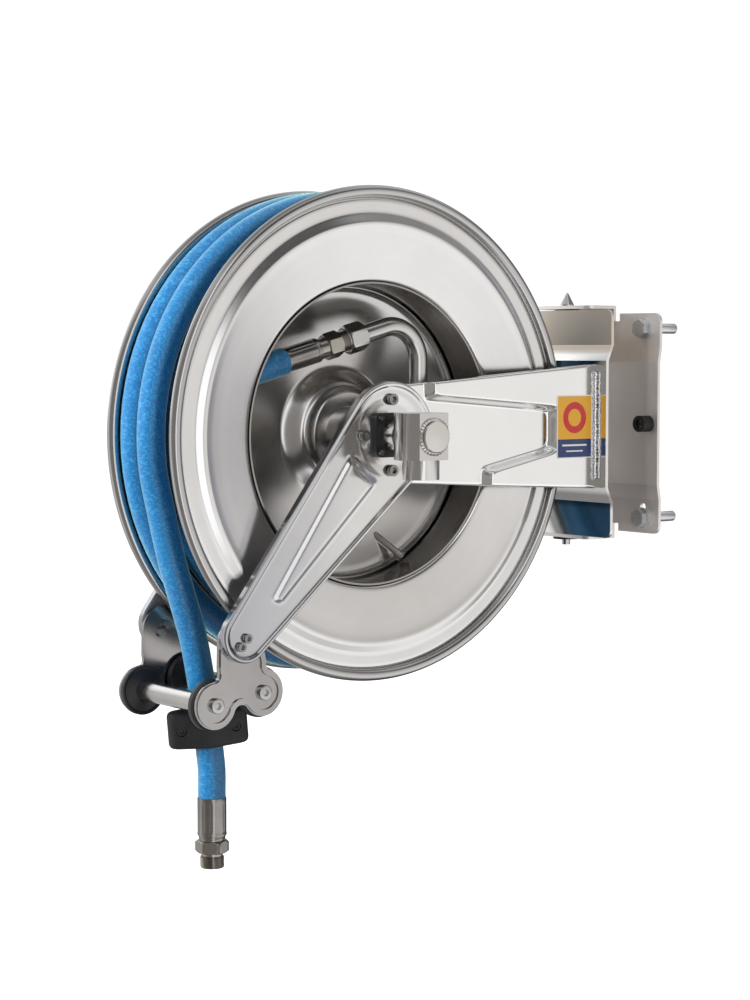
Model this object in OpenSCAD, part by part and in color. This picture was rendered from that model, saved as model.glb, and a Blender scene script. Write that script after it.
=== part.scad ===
// Spring rewind hose reel on a swivelling wall bracket.
// Millimetres, +Z up. The wall is the plane X = 0 and the reel stands in front of it, towards -X.
// The reel axis runs along Y. The origin is the centre of the four wall bolts.

/* [Reel] */
// Space between the rims and the base plate
rim_space = 25.5; // [25:0.5:30]
// Height of the bracket centre over the reel axis
axis_drop = 6; // [0:1:10]
// Radius over the rolled rims
rim_r = 270; // [266:1:280]
// Thickness of a rolled rim
bead_d = 13; // [10:0.5:13.5]
// Distance between the two rolled rims, centre to centre
rim_gap = 121.2; // [121.2:0.2:123]
// Outside radius of the drum shell
drum_r = 166; // [160:1:168]
// Sheet thickness of drum, flanges and spring case
sheet = 2; // [1.5:0.1:2]
// Distance of the well floor behind the middle of the drum
floor_y = 25; // [24:0.5:25]

/* [Hub] */
// Radius of the hollow shaft
shaft_r = 18.5; // [16:0.5:19]
// Radius of the shaft neck inside the swivel
neck_r = 15; // [13:0.5:16]
// Radius of the water passage in the shaft
passage_r = 9.5; // [6:0.5:10]
// Radius of the hub sleeve
hub_r = 30; // [28:0.5:32]
// Radius of the fixed axle on the spring side
arbor_r = 14; // [12:0.5:16]
// Radius of the ratchet wheel over its teeth
ratchet_r = 60; // [56:1:60]
// Number of ratchet teeth
ratchet_teeth = 24; // [18:1:30]

/* [Hose] */
// Outside diameter of the hose
hose_d = 30; // [28:0.5:30]
// Depth of the hidden inner layers on the drum
core_build = 40; // [38:0.5:41]
// Distance between neighbouring turns of the lower layer
turn_pitch = 31.2; // [31:0.1:31.4]
// Outside diameter of the gooseneck tube
tube_d = 21; // [19:0.5:22]
// Bend radius of the gooseneck
tube_bend = 38; // [34:1:40]

/* [Arms] */
// Distance of the support arm heads from the middle of the reel
arm_in = 75.5; // [75:0.5:78]
// Plate thickness of the support arms
arm_t = 4; // [3:0.5:4]
// Outward step of the pressed support arms
arm_step = 12; // [10:0.5:13]
// Radius of the support arm heads
head_r = 53; // [50:1:54]
// Plate thickness of the guide arms
guide_t = 3; // [2.5:0.5:4]
// Radius of the guide arm heads
guide_head_r = 58; // [56:1:60]
// Radius of the guide arm tips
guide_tip_r = 28; // [26:0.5:29]
// Height of the embossed panel on the guide arms
emboss = 3; // [2:0.5:4]
// Radius of the circle of hub screws
hub_bolt_r = 38.5; // [38:0.5:40]

/* [Hose guide] */
// Radius of the roller tubes
roller_r = 11.25; // [10.5:0.25:11.25]
// Radius of the dished roller ends
roller_end_r = 27; // [24:0.5:28]
// Radius of the roller axles
axle_r = 5; // [4:0.5:6]
// Plate thickness of the roller plates
cheek_t = 4; // [3:0.5:5]
// Radius of the plate lobes round the rollers
lobe_r = 25; // [23:0.5:26]
// Height of the hose stop
stop_h = 39.5; // [36:0.5:40]
// Radius of the hose end ferrule
ferrule_r = 15.75; // [15:0.25:17]

/* [Inlet] */
// Radius of the swivel body
swivel_r = 29; // [28:0.5:31]
// Radius of the inlet thread bore
inlet_r = 12.2; // [11:0.1:12.5]
// Radius of the knurled plug
plug_r = 20.4; // [18:0.2:21]

/* [Bracket] */
// Half the width of the wall plate
wall_w = 130; // [128:1:136]
// Half the height of the wall plate
wall_h = 129; // [127:1:130]
// Plate thickness of wall plate and base plate
plate_t = 4; // [3:0.5:4]
// Half the width of the base plate
base_w = 108; // [106:1:108]
// Half the height of the base plate
base_h = 132.5; // [130:0.5:133]
// Forward joggle of the base plate's middle
base_joggle = 8; // [6:0.5:8]
// Distance of the hinge pin from the wall
pin_x = 30; // [29:0.5:31]
// Radius of the hinge pin
pin_r = 7; // [6:0.5:8]
// Half the sideways spacing of the wall bolts
bolt_y = 104; // [102:1:106]
// Half the upright spacing of the wall bolts
bolt_z = 111; // [109:1:112]
// Radius of the wall bolts
bolt_r = 6; // [5:0.5:6]
// Radius of the rubber buffers
buffer_r = 9.5; // [8:0.5:10]

/* [Hidden] */
$fn = 64;

// clearances
run = 0.05;
gap = 0.3;
loose = 0.5;

// distance from the wall to the reel axis
base_front = pin_x + 30.5;
reach = rim_r + rim_space + base_joggle + base_front;

// drum stations, measured along the axis from the middle
rim_y = rim_gap / 2;
lip_y = rim_y - 9.6;
flute_r = rim_r - 42.5;
flute_y = rim_y + 3.9;
ring_r = rim_r - 29.4;
ring_y = rim_y - 0.6;
floor_back = floor_y + sheet;
case_r = drum_r - sheet - sheet;
case_end = 50;
cover_end = case_end + sheet;
wheel_end = cover_end + 6;
boss_r = arbor_r + 10;
boss_end = wheel_end + 4;
hub_end = -50;

// hose layers
hose_r = hose_d / 2;
core_r = drum_r + core_build;
layer_r = core_r + hose_r + loose;
upper_r = layer_r + hose_d + loose;
free_lane = 4;
far_lane = free_lane + hose_d + 2;
turns_from = -910;
turns_to = -10;
climb_to = 80;
turns_end = 350;

// arms
arm_out = arm_in + arm_t;
arm_far = arm_out + arm_step;
arm_x = reach - base_front - base_joggle;
guide_in = arm_out;
guide_out = guide_in + guide_t;
shoulder = -guide_out - 24.2;
neck_end = shoulder - 41.3;
swivel_y = shoulder - 26.6;
bear_boss_r = shaft_r + 4;
flange_plate_r = 31;
bear_screw_r = 25.8;
bear_screw_d = 1.9;
hub_screw_d = 4;
guide_scale = rim_r / 270;
tip = guide_scale * [-192, -205];
skirt_in = arm_in - 0.5;
cheek_out = skirt_in;
cheek_in = cheek_out - cheek_t;
cheek_top = tip + [-2, -7];
neck_low = tip + [0.5, -31];
roller_a = guide_scale * [-225, -275];
roller_b = guide_scale * [-165, -266.5];
tip_screws = [tip + [0.5, -1.7], tip + [-7, -10.2]];
tip_screw_d = 3;

// step of the support arms: feet on the inner level, tops on the outer level
function top_edge(x) = head_r + x * 22.5 / 295.5;
function low_edge(x) = -head_r - x * 15.8 / 295.5;
feet = [[47, top_edge(47) - 0.5], [48, 37], [230, 22], [230, -18], [133, -38],
    [128, low_edge(128) + 0.5]];
tops = [[56, top_edge(56) - 0.5], [58, 42], [236, 28], [236, -25], [140, -45],
    [137, low_edge(137) + 0.5]];
function step_line(f) = [for (i = [0:5]) let(p = feet[i] + f * (tops[i] - feet[i]))
    i == 0 ? [p[0], top_edge(p[0])] : i == 5 ? [p[0], low_edge(p[0])] : p];

// gooseneck, in the plane across the axis
neck_plane = -30;
bend_x = hub_r + 11.5;
rise = 42;
tail_slope = 15;
tail_from = [bend_x + tube_bend * cos(90 + tail_slope),
    tube_bend + rise + tube_bend * sin(90 + tail_slope)];
nut_from = 33;
nut_to = 58;
fitting_to = 96.6;
tail_ferrule_to = 143;
tail_to = drum_r + 39;

// free hose below the drum, to its end fitting
end_x = roller_b[0] - 15.5;
leave = 196.9;
stop_top = [end_x - 6.9, 0.5, roller_b[1] - 19.5];
stop_low = [end_x - 2.4, 0.2, stop_top[2] - 50];
hose_end_z = stop_low[2] - 51;
ferrule_z = hose_end_z - 45;
hex_z = ferrule_z - 15;
thread_z = hex_z - 16.7;
thread_r = 13.2;
stop_turn = 62;
stop_ends = 29;

// pawl
pawl_at = [84, 8];
pawl_tip = [63, -19];

// wall side
shank_r = bolt_r - 0.6;
buffer_y = base_w + 7;
wall_proud = 3;
tab_in = base_h + 2;
tab_out = tab_in + plate_t;
bush_r = pin_r + 3;
base_back = base_front - plate_t;

function polar(r, a) = [r * cos(a), r * sin(a)];
function unit(v) = v / norm(v);
function bar_points(c0, r0, c1, r1) =
    let(d = c1 - c0, b = atan2(d[1], d[0]), a = acos((r0 - r1) / norm(d)))
    [c0 + polar(r0, b + a), c1 + polar(r1, b + a), c1 + polar(r1, b - a), c0 + polar(r0, b - a)];
function arc(c, r, a0, a1, n) = [for (i = [0:n]) c + polar(r, a0 + (a1 - a0) * i / n)];
function shift(pts, v) = [for (p = pts) p + v];
function back(pts) = [for (i = [len(pts) - 1:-1:0]) pts[i]];
function rim_point(c, r, q) = c + (r - 0.4) * unit(q - c);

// centre of a circle of radius r that touches two others from outside
function touch(a, ra, b, rb, r, side) =
    let(d = norm(b - a), u = (b - a) / d, x = (pow(ra + r, 2) - pow(rb + r, 2) + d * d) / (2 * d))
    a + x * u + side * sqrt(pow(ra + r, 2) - x * x) * [-u[1], u[0]];

// the hollow side of a circle, from where it meets one neighbour to where it meets the other
function dip(c, r, p, q) =
    let(a = atan2(p[1] - c[1], p[0] - c[0]), b = atan2(q[1] - c[1], q[0] - c[0]),
        turn = (b - a + 540) % 360 - 180) [for (i = [0.4:1.04:5.6]) c + polar(r, a + turn * i / 6)];

// swept tubes: one ring of n points round every path point
function path_dir(p, i) = unit(p[min(i + 1, len(p) - 1)] - p[max(i - 1, 0)]);
function ring(c, t, r, n) =
    let(u = unit(cross([0, 1, 0], t)), w = cross(t, u))
    [for (k = [0:n - 1]) c + r * cos(360 * (k + 0.5) / n) * u + r * sin(360 * (k + 0.5) / n) * w];
function skin_faces(m, n) = concat(
    [for (i = [0:m - 2], k = [0:n - 1]) [i * n + k, (i + 1) * n + (k + 1) % n, i * n + (k + 1) % n]],
    [for (i = [0:m - 2], k = [0:n - 1]) [i * n + k, (i + 1) * n + k, (i + 1) * n + (k + 1) % n]],
    [for (k = [1:n - 2]) [0, k, k + 1]],
    [for (k = [1:n - 2]) [(m - 1) * n, (m - 1) * n + k + 1, (m - 1) * n + k]]);
module tube_along(path, r, n) {
    polyhedron(points = [for (i = [0:len(path) - 1]) each ring(path[i], path_dir(path, i), r, n)],
        faces = skin_faces(len(path), n));
}

// routes of the two hoses, from the reel axis
leave_at = [upper_r * cos(leave), free_lane, upper_r * sin(leave)];
free_route = concat(
    [for (a = [-10:9.85:leave]) [upper_r * cos(a), free_lane, upper_r * sin(a)]],
    [for (f = [[0.262, -1], [0.464, 1.6], [0.671, 3.5], [0.887, 0.9]])
        leave_at + f[0] * (stop_top - leave_at) + [f[1], 0, 0]],
    [stop_top, stop_low, [end_x, 0, stop_low[2] - 21], [end_x, 0, hose_end_z]]);
function lower_y(a) = far_lane + (a - turns_to) * turn_pitch / 360;
function turn_at(a) =
    a < turns_from ? let(f = (turns_from - a) / 30)
        [(layer_r - 32 * f) * cos(a), lower_y(turns_from) + 4 * f, (layer_r - 32 * f) * sin(a)]
    : a < turns_to ? [layer_r * cos(a), lower_y(a), layer_r * sin(a)]
    : let(f = min(1, (a - turns_to) / (climb_to - turns_to)), q = f * f * (3 - 2 * f),
        r = layer_r + (upper_r - layer_r) * q) [r * cos(a), far_lane, r * sin(a)];
turn_route = [for (i = [-2:84]) turn_at(turns_from + i * 15)];
turn_gap = min([for (i = [0:len(turn_route) - 19], j = [i + 18:len(turn_route) - 1])
    norm(turn_route[i] - turn_route[j])]) - hose_d;
echo(least_gap_between_turns = turn_gap);
free_gap = min([for (p = turn_route, q = free_route)
    let(a = [norm([p[0], p[2]]), p[1]], b = [norm([q[0], q[2]]), q[1]]) norm(a - b)]) - hose_d;
echo(least_gap_to_free_hose = free_gap);

// placing helpers
module at_axis() {
    translate([-reach, 0, -axis_drop]) children();
}
module near() {
    mirror([0, 1, 0]) children();
}
module both() {
    children();
    mirror([0, 1, 0]) children();
}
module spin() {
    rotate([-90, 0, 0]) rotate_extrude($fn = 96) children();
}
module slab_y(y0, y1) {
    translate([0, y1, 0]) rotate([90, 0, 0]) linear_extrude(height = y1 - y0) children();
}
module slab_x(x0, x1) {
    translate([x0, 0, 0]) rotate([90, 0, 90]) linear_extrude(height = x1 - x0) children();
}
module slab_z(z0, z1) {
    translate([0, 0, z0]) linear_extrude(height = z1 - z0) children();
}
module rod_y(p, y0, y1, r) {
    translate([p[0], y1, p[1]]) rotate([90, 0, 0]) cylinder(h = y1 - y0, r = r);
}
module hex_y(p, y0, y1, af) {
    translate([p[0], y1, p[1]]) rotate([90, 0, 0]) cylinder(h = y1 - y0, d = af / cos(30), $fn = 6);
}
module rod_x(x0, x1, y, z, r) {
    translate([x0, y, z]) rotate([0, 90, 0]) cylinder(h = x1 - x0, r = r);
}
module rod_z(x, y, z0, z1, r) {
    translate([x, y, z0]) cylinder(h = z1 - z0, r = r);
}
module bar(c0, r0, c1, r1) {
    translate(c0) circle(r = r0);
    translate(c1) circle(r = r1);
    polygon(bar_points(c0, r0, c1, r1));
}
module rounded(w, h, r) {
    square([2 * w, 2 * h - 2 * r], center = true);
    square([2 * w - 2 * r, 2 * h], center = true);
    for (i = [-1, 1], j = [-1, 1]) translate([i * (w - r), j * (h - r)]) circle(r = r);
}
module cap_screw(p, y0, grip, r, head_r, head_h) {
    difference() {
        union() {
            rod_y(p, y0, y0 + head_h, head_r);
            rod_y(p, y0 - grip, y0, r);
        }
        hex_y(p, y0 + head_h * 0.4, y0 + head_h + 1, r * 1.5);
    }
}

// wall side
module hat(front, proud, flat, slope, half) {
    polygon([[-front, half], [-front, slope], [-front - proud, flat], [-front - proud, -flat],
        [-front, -slope], [-front, -half], [-front + plate_t, -half], [-front + plate_t, -slope],
        [-front - proud + plate_t, -flat], [-front - proud + plate_t, flat],
        [-front + plate_t, slope], [-front + plate_t, half]]);
}
module wall_tab() {
    slab_x(-plate_t, 0) translate([-53, wall_h - 7.5]) square([106, tab_out - wall_h + 7.5]);
    slab_z(tab_in, tab_out) {
        translate([-22, 0]) square([44, 86], center = true);
        translate([-17, 0]) square([34, 106], center = true);
        for (j = [-1, 1]) translate([-34, j * 43]) circle(r = 10);
    }
}
module wall_plate() {
    color([0.62, 0.6, 0.58]) difference() {
        union() {
            intersection() {
                slab_y(-wall_w, wall_w) hat(plate_t, wall_proud, 72, 89, wall_h);
                slab_x(-20, 10) rounded(wall_w, wall_h, 10);
            }
            wall_tab();
            mirror([0, 0, 1]) wall_tab();
        }
        for (j = [-1, 1], k = [-1, 1]) rod_x(-10, 10, j * bolt_y, k * bolt_z, bolt_r + loose);
        for (j = [-1, 1]) {
            rod_x(-10, 10, j * bolt_y, 12.7 - bolt_z, 4.7);
            translate([-10, j * bolt_y - 4.7, -bolt_z]) cube([20, 9.4, 12.7]);
            rod_x(-10, 10, j * buffer_y, 0, 3);
        }
        rod_z(-pin_x, 0, -tab_out - 1, tab_out + 1, pin_r);
        for (j = [-1, 1], k = [-1, 1])
            translate([-10, j * 58 - 5, k * (wall_h - 4) - 5]) cube([20, 10, 10]);
    }
}
module wall_washers() {
    color([0.75, 0.75, 0.76]) for (j = [-1, 1], k = [-1, 1]) difference() {
        rod_x(-plate_t - 2.5, -plate_t, j * bolt_y, k * bolt_z, 12);
        rod_x(-plate_t - 5, 0, j * bolt_y, k * bolt_z, shank_r);
    }
}
module wall_bolts() {
    color([0.75, 0.76, 0.78]) for (j = [-1, 1], k = [-1, 1]) {
        translate([-plate_t - 10, j * bolt_y, k * bolt_z]) rotate([0, 90, 0])
            cylinder(h = 7.5, d = 19 / cos(30), $fn = 6);
        rod_x(-plate_t - 2.5, 0, j * bolt_y, k * bolt_z, shank_r);
        rod_x(0, 45, j * bolt_y, k * bolt_z, bolt_r);
    }
}
module pivot_pin() {
    color([0.6, 0.6, 0.62]) {
        rod_z(-pin_x, 0, -tab_out - 2.5, tab_out, pin_r);
        rod_z(-pin_x, 0, -tab_out - 9.5, -tab_out - 2.5, pin_r - 2);
        rod_z(-pin_x, 0, tab_out, tab_out + 1.5, pin_r + 1);
        translate([-pin_x, 0, tab_out + 1.5]) cylinder(h = 14, r1 = pin_r + 1, r2 = 1);
    }
}
module pivot_washer() {
    color([0.12, 0.12, 0.13]) difference() {
        rod_z(-pin_x, 0, -tab_out - 2.5, -tab_out, 15.5);
        rod_z(-pin_x, 0, -tab_out - 5, 0, pin_r);
    }
}
module rubber_buffers() {
    color([0.07, 0.07, 0.07]) for (j = [-1, 1]) difference() {
        rod_x(-23, -plate_t - wall_proud, j * buffer_y, 0, buffer_r);
        rod_x(-30, 0, j * buffer_y, 0, 3);
        rod_x(-30, -15, j * buffer_y, 0, 5.5);
    }
}
module buffer_screws() {
    color([0.55, 0.55, 0.57]) for (j = [-1, 1]) difference() {
        union() {
            rod_x(-20, -15, j * buffer_y, 0, 5);
            rod_x(-15, 0, j * buffer_y, 0, 3);
        }
        translate([-21, j * buffer_y, 0]) rotate([0, 90, 0]) cylinder(h = 4, d = 5.8, $fn = 6);
    }
}

// swinging frame
module base_lug() {
    p = [-base_back - 1, 50];
    q = [-pin_x, 0];
    t = bar_points(q, 16, p, 0);
    difference() {
        slab_z(base_h - plate_t, base_h) {
            translate(q) circle(r = 16);
            polygon([p, t[3], [t[3][0], -t[3][1]], [p[0], -p[1]]]);
        }
        rod_z(-pin_x, 0, 0, base_h + 1, bush_r);
    }
}
module base_plate() {
    color([0.75, 0.75, 0.76]) {
        intersection() {
            slab_y(-base_w, base_w) hat(base_front, base_joggle, 73.5, 91.7, base_h);
            slab_x(-100, 0) rounded(base_w, base_h, 9);
        }
        base_lug();
        mirror([0, 0, 1]) base_lug();
    }
}
module bush() {
    difference() {
        union() {
            rod_z(-pin_x, 0, base_h - plate_t, base_h, bush_r);
            rod_z(-pin_x, 0, base_h, tab_in - gap, pin_r + 7);
        }
        rod_z(-pin_x, 0, 0, tab_out, pin_r + run);
    }
}
module hinge_bushes() {
    color([0.15, 0.15, 0.16]) {
        bush();
        mirror([0, 0, 1]) bush();
    }
}
module arm_step_wall() {
    rings = [for (i = [0:len(feet) - 1]) let(f = feet[i], t = tops[i], d = 0.45 * (t - f))
        each [[f[0], arm_out - gap, f[1]], [t[0], arm_far - gap, t[1]],
        [t[0] + d[0], arm_far - arm_t + gap, t[1] + d[1]], [f[0] + d[0], arm_in + gap, f[1] + d[1]]]];
    polyhedron(points = rings, faces = skin_faces(len(feet), 4));
}
module support_arm(hole_r) {
    at_axis() difference() {
        union() {
            slab_y(arm_in, arm_out) {
                circle(r = head_r);
                polygon(concat([[0, head_r]], step_line(0.6), [[0, -head_r]]));
            }
            slab_y(arm_far - arm_t, arm_far) polygon(concat([[arm_x, top_edge(arm_x)]],
                step_line(0.85), [[arm_x, low_edge(arm_x)]]));
            arm_step_wall();
            slab_y(arm_out + loose, arm_far - 1) {
                polygon([[62, top_edge(62) - run], [arm_x, top_edge(arm_x) - run],
                    [arm_x, top_edge(arm_x) - 3], [62, top_edge(62) - 3]]);
                polygon([[142, low_edge(142) + run], [arm_x, low_edge(arm_x) + run],
                    [arm_x, low_edge(arm_x) + 3], [142, low_edge(142) + 3]]);
            }
            slab_y(arm_in - 5, arm_in + 1) polygon([[10, low_edge(10) + run],
                [124, low_edge(124) + run], [124, low_edge(124) + 3], [10, low_edge(10) + 3]]);
        }
        rod_y([0, 0], arm_in - 5, arm_out + 5, hole_r);
        for (a = [0:90:270]) rod_y(polar(hub_bolt_r, a), arm_in - 5, arm_out + 5, hub_screw_d);
        for (a = [45:90:315]) rod_y(polar(bear_screw_r, a), arm_in - 5, arm_out + 5, bear_screw_d);
        children();
    }
}
module near_support_arm() {
    color([0.86, 0.86, 0.87]) near() support_arm(bear_boss_r);
}
module far_support_arm() {
    color([0.86, 0.86, 0.87]) support_arm(arbor_r) rod_y(pawl_at, arm_in - 5, arm_out + 5, 4);
}
module weld_beads() {
    color([0.6, 0.59, 0.58]) at_axis() both() translate([0, 0, -58]) linear_extrude(height = 125)
        polygon([[arm_x, arm_far], [arm_x - 4, arm_far], [arm_x - 1.5, arm_far + 2],
            [arm_x, arm_far + 4]]);
}
module guide_shape(inset) {
    bar([0, 0], guide_head_r - inset, tip, guide_tip_r - inset);
}
module guide_arm(hole_r) {
    panel = [[-50, -20], [-15, -44], [-144, -173], [-157, -167]];
    panel_top = [[-50, -25], [-20, -44], [-144, -168], [-153, -164]];
    at_axis() difference() {
        union() {
            slab_y(guide_in, guide_out) guide_shape(0);
            slab_y(guide_out, guide_out + 1.5) difference() {
                guide_shape(0);
                guide_shape(4);
            }
            difference() {
                slab_y(skirt_in, guide_in) difference() {
                    guide_shape(0);
                    guide_shape(3);
                }
                rod_y([0, 0], skirt_in - 1, guide_in + 1, 62);
            }
            hull() {
                slab_y(guide_out - 0.2, guide_out) polygon(panel);
                slab_y(guide_out + emboss - 0.2, guide_out + emboss) polygon(panel_top);
            }
            for (p = tip_screws) rod_y(p, skirt_in, guide_in, 6);
        }
        rod_y([0, 0], guide_in - 1, guide_out + 5, hole_r);
        for (a = [0:90:270]) rod_y(polar(hub_bolt_r, a), guide_in - 1, guide_out + 5, hub_screw_d);
        for (a = [45:90:315]) rod_y(polar(bear_screw_r, a), guide_in - 1, guide_out + 5, bear_screw_d);
        for (p = tip_screws) rod_y(p, skirt_in - 1, guide_out + 5, tip_screw_d);
        rod_y([-185, -198], skirt_in - 1, guide_out + 5, 2.5);
    }
}
module near_guide_arm() {
    color([0.7, 0.7, 0.71]) near() guide_arm(bear_boss_r);
}
module far_guide_arm() {
    color([0.7, 0.7, 0.71]) guide_arm(arbor_r);
}
module hub_screws() {
    at_axis() for (a = [0:90:270]) {
        cap_screw(polar(hub_bolt_r, a), guide_out, guide_t + arm_t, hub_screw_d, 6.3, 5);
        hex_y(polar(hub_bolt_r, a), arm_in - 5, arm_in, 13);
    }
}
module near_hub_screws() {
    color([0.35, 0.35, 0.37]) near() hub_screws();
}
module far_hub_screws() {
    color([0.35, 0.35, 0.37]) hub_screws();
}
module plate_screws() {
    at_axis() for (a = [45:90:315])
        cap_screw(polar(bear_screw_r, a), guide_out + 4, guide_t + arm_t + 4, bear_screw_d, 3.2, 3);
}
module near_bearing() {
    color([0.08, 0.08, 0.09]) near() at_axis() difference() {
        union() {
            rod_y([0, 0], arm_in - 4, guide_out, bear_boss_r);
            rod_y([0, 0], guide_out, guide_out + 4, flange_plate_r);
        }
        rod_y([0, 0], 0, 120, shaft_r + run);
        for (a = [45:90:315]) rod_y(polar(bear_screw_r, a), 70, 120, bear_screw_d);
    }
}
module near_bearing_screws() {
    color([0.25, 0.25, 0.27]) near() plate_screws();
}
module spring_arbor() {
    color([0.6, 0.6, 0.62]) at_axis() difference() {
        union() {
            rod_y([0, 0], floor_back + 3, guide_out, arbor_r);
            rod_y([0, 0], guide_out, guide_out + 4, flange_plate_r);
            hex_y([0, 0], guide_out + 4, guide_out + 16, 24);
        }
        for (a = [45:90:315]) rod_y(polar(bear_screw_r, a), 70, 120, bear_screw_d);
    }
}
module arbor_screws() {
    color([0.25, 0.25, 0.27]) plate_screws();
}
module pawl_pin() {
    color([0.5, 0.5, 0.52]) at_axis() {
        rod_y(pawl_at, cover_end + 1.3, arm_out, 4);
        rod_y(pawl_at, wheel_end - 0.1, arm_in, 7);
        rod_y(pawl_at, cover_end + 0.7, cover_end + 1.3, 6);
    }
}

// hose guide
module cheek(y0, y1, inset) {
    ra = lobe_r - inset;
    rn = 30 - inset;
    near_dip = touch(neck_low, rn, roller_b, ra, 6 + inset, 1);
    far_dip = touch(neck_low, rn, roller_a, ra, 6 + inset, -1);
    valley = touch(roller_a, ra, roller_b, ra, 9 + inset, -1);
    rod_y(neck_low, y0, y1, rn);
    rod_y(roller_a, y0, y1, ra);
    rod_y(roller_b, y0, y1, ra);
    slab_y(y0, y1) polygon(concat([neck_low, rim_point(neck_low, rn, far_dip)],
        dip(far_dip, 6 + inset, neck_low, roller_a),
        [rim_point(roller_a, ra, far_dip), roller_a, rim_point(roller_a, ra, valley)],
        dip(valley, 9 + inset, roller_a, roller_b),
        [rim_point(roller_b, ra, valley), roller_b, rim_point(roller_b, ra, near_dip)],
        dip(near_dip, 6 + inset, roller_b, neck_low), [rim_point(neck_low, rn, near_dip)]));
}
module cheek_neck(y0, y1, inset) {
    rod_y(cheek_top, y0, y1, 27 - inset);
    slab_y(y0, y1) polygon(bar_points(cheek_top, 27 - inset, neck_low, 30 - inset));
}
module roller_plate() {
    at_axis() difference() {
        union() {
            cheek(cheek_in, cheek_out, 0);
            cheek_neck(cheek_in, cheek_out, 0);
            difference() {
                union() {
                    cheek(cheek_out - 0.1, cheek_out + 2, 1.5);
                    cheek_neck(cheek_out - 0.1, cheek_out + 2, 1.5);
                }
                cheek(cheek_out - 1, cheek_out + 3, 7);
                rod_y(tip, cheek_out - 1, cheek_out + 3, guide_tip_r + 2);
                slab_y(cheek_out - 1, cheek_out + 3)
                    polygon(bar_points([0, 0], guide_head_r + 2, tip, guide_tip_r + 2));
            }
        }
        for (p = [roller_a, roller_b]) rod_y(p, cheek_in - 1, cheek_out + 5, axle_r);
        for (p = tip_screws) rod_y(p, cheek_in - 1, cheek_out + 5, tip_screw_d);
    }
}
module near_roller_plate() {
    color([0.7, 0.7, 0.71]) near() roller_plate();
}
module far_roller_plate() {
    color([0.7, 0.7, 0.71]) roller_plate();
}
module roller_plate_screws() {
    color([0.35, 0.35, 0.37]) at_axis() both() for (p = tip_screws) {
        cap_screw(p, guide_out, guide_out - cheek_in, tip_screw_d, 5, 4.5);
        hex_y(p, cheek_in - 4, cheek_in, 9);
    }
}
module roller_bolts() {
    color([0.6, 0.6, 0.62]) at_axis() for (p = [roller_a, roller_b]) {
        rod_y(p, -cheek_out, cheek_out + 9, axle_r);
        near() rod_y(p, cheek_out, cheek_out + 5, axle_r + 3);
        hex_y(p, cheek_out, cheek_out + 8, 16);
    }
}
module roller_tube(p) {
    at_axis() difference() {
        rod_y(p, -cheek_in + 10, cheek_in - 10, roller_r);
        rod_y(p, -80, 80, roller_r - 2);
    }
}
module roller_ends(p) {
    at_axis() both() difference() {
        translate([p[0], 0, p[1]]) spin() polygon([[axle_r + run, cheek_in - 14],
            [roller_r - 2, cheek_in - 14], [roller_r - 2, cheek_in - 10], [roller_r + 1, cheek_in - 10],
            [roller_end_r - 4, cheek_in - 7], [roller_end_r - 1, cheek_in - 8.5],
            [roller_end_r, cheek_in - 7.5], [roller_end_r, cheek_in - 2], [roller_end_r - 2, cheek_in - 0.6],
            [roller_end_r - 5, cheek_in - 0.6], [roller_end_r - 8, cheek_in - 2.5],
            [axle_r + 5, cheek_in - 2.5], [axle_r + 4, cheek_in - 0.5], [axle_r + run, cheek_in - 0.5]]);
    }
}
module outer_roller_tube() {
    color([0.75, 0.75, 0.77]) roller_tube(roller_a);
}
module outer_roller_ends() {
    color([0.08, 0.08, 0.09]) roller_ends(roller_a);
}
module inner_roller_tube() {
    color([0.75, 0.75, 0.77]) roller_tube(roller_b);
}
module inner_roller_ends() {
    color([0.08, 0.08, 0.09]) roller_ends(roller_b);
}
module free_hose() {
    color([0.1, 0.42, 0.8]) at_axis() tube_along(free_route, hose_r, 10);
}
module on_stop() {
    axis = unit(stop_low - stop_top);
    mid = stop_top + axis * 24.6;
    at_axis() translate(mid) rotate([0, -atan2(axis[0], -axis[2]), 0]) rotate([0, 0, stop_turn])
        children();
}
module stop_half() {
    difference() {
        union() {
            cylinder(h = stop_h, r = 23, center = true);
            for (j = [-1, 1]) {
                translate([0, j * stop_ends, 0]) cylinder(h = stop_h, r = 14, center = true);
                translate([0, 0, -stop_h / 2]) linear_extrude(height = stop_h)
                    polygon(bar_points([0, j * stop_ends], 14, [0, 0], 23));
            }
        }
        translate([-0.25, -50, -50]) cube([50, 100, 100]);
        cylinder(h = stop_h + 2, r = hose_r + 0.1, center = true);
        for (j = [-1, 1]) translate([-30, j * stop_ends, 0]) rotate([0, 90, 0]) cylinder(h = 60, r = 3);
        for (j = [-1, 1]) translate([-30, j * stop_ends, 0]) rotate([0, 90, 0]) cylinder(h = 22, r = 5.5);
    }
}
module stop_front() {
    color([0.06, 0.06, 0.07]) on_stop() stop_half();
}
module stop_back() {
    color([0.06, 0.06, 0.07]) on_stop() rotate([0, 0, 180]) stop_half();
}
module stop_screws() {
    color([0.5, 0.5, 0.52]) on_stop() for (j = [-1, 1]) translate([0, j * stop_ends, 0])
        rotate([0, 90, 0]) difference() {
            union() {
                translate([0, 0, -12]) cylinder(h = 4, r = 5);
                translate([0, 0, -8]) cylinder(h = 16, r = 3 - run);
                translate([0, 0, 8]) cylinder(h = 3.5, d = 9 / cos(30), $fn = 6);
            }
            translate([0, 0, -13]) cylinder(h = 3, d = 5.8, $fn = 6);
        }
}
module hose_ferrule() {
    color([0.55, 0.54, 0.52]) at_axis() difference() {
        rod_z(end_x, 0, ferrule_z, hose_end_z, ferrule_r);
        rod_z(end_x, 0, ferrule_z - 1, hose_end_z + 1, 11);
    }
}
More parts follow.
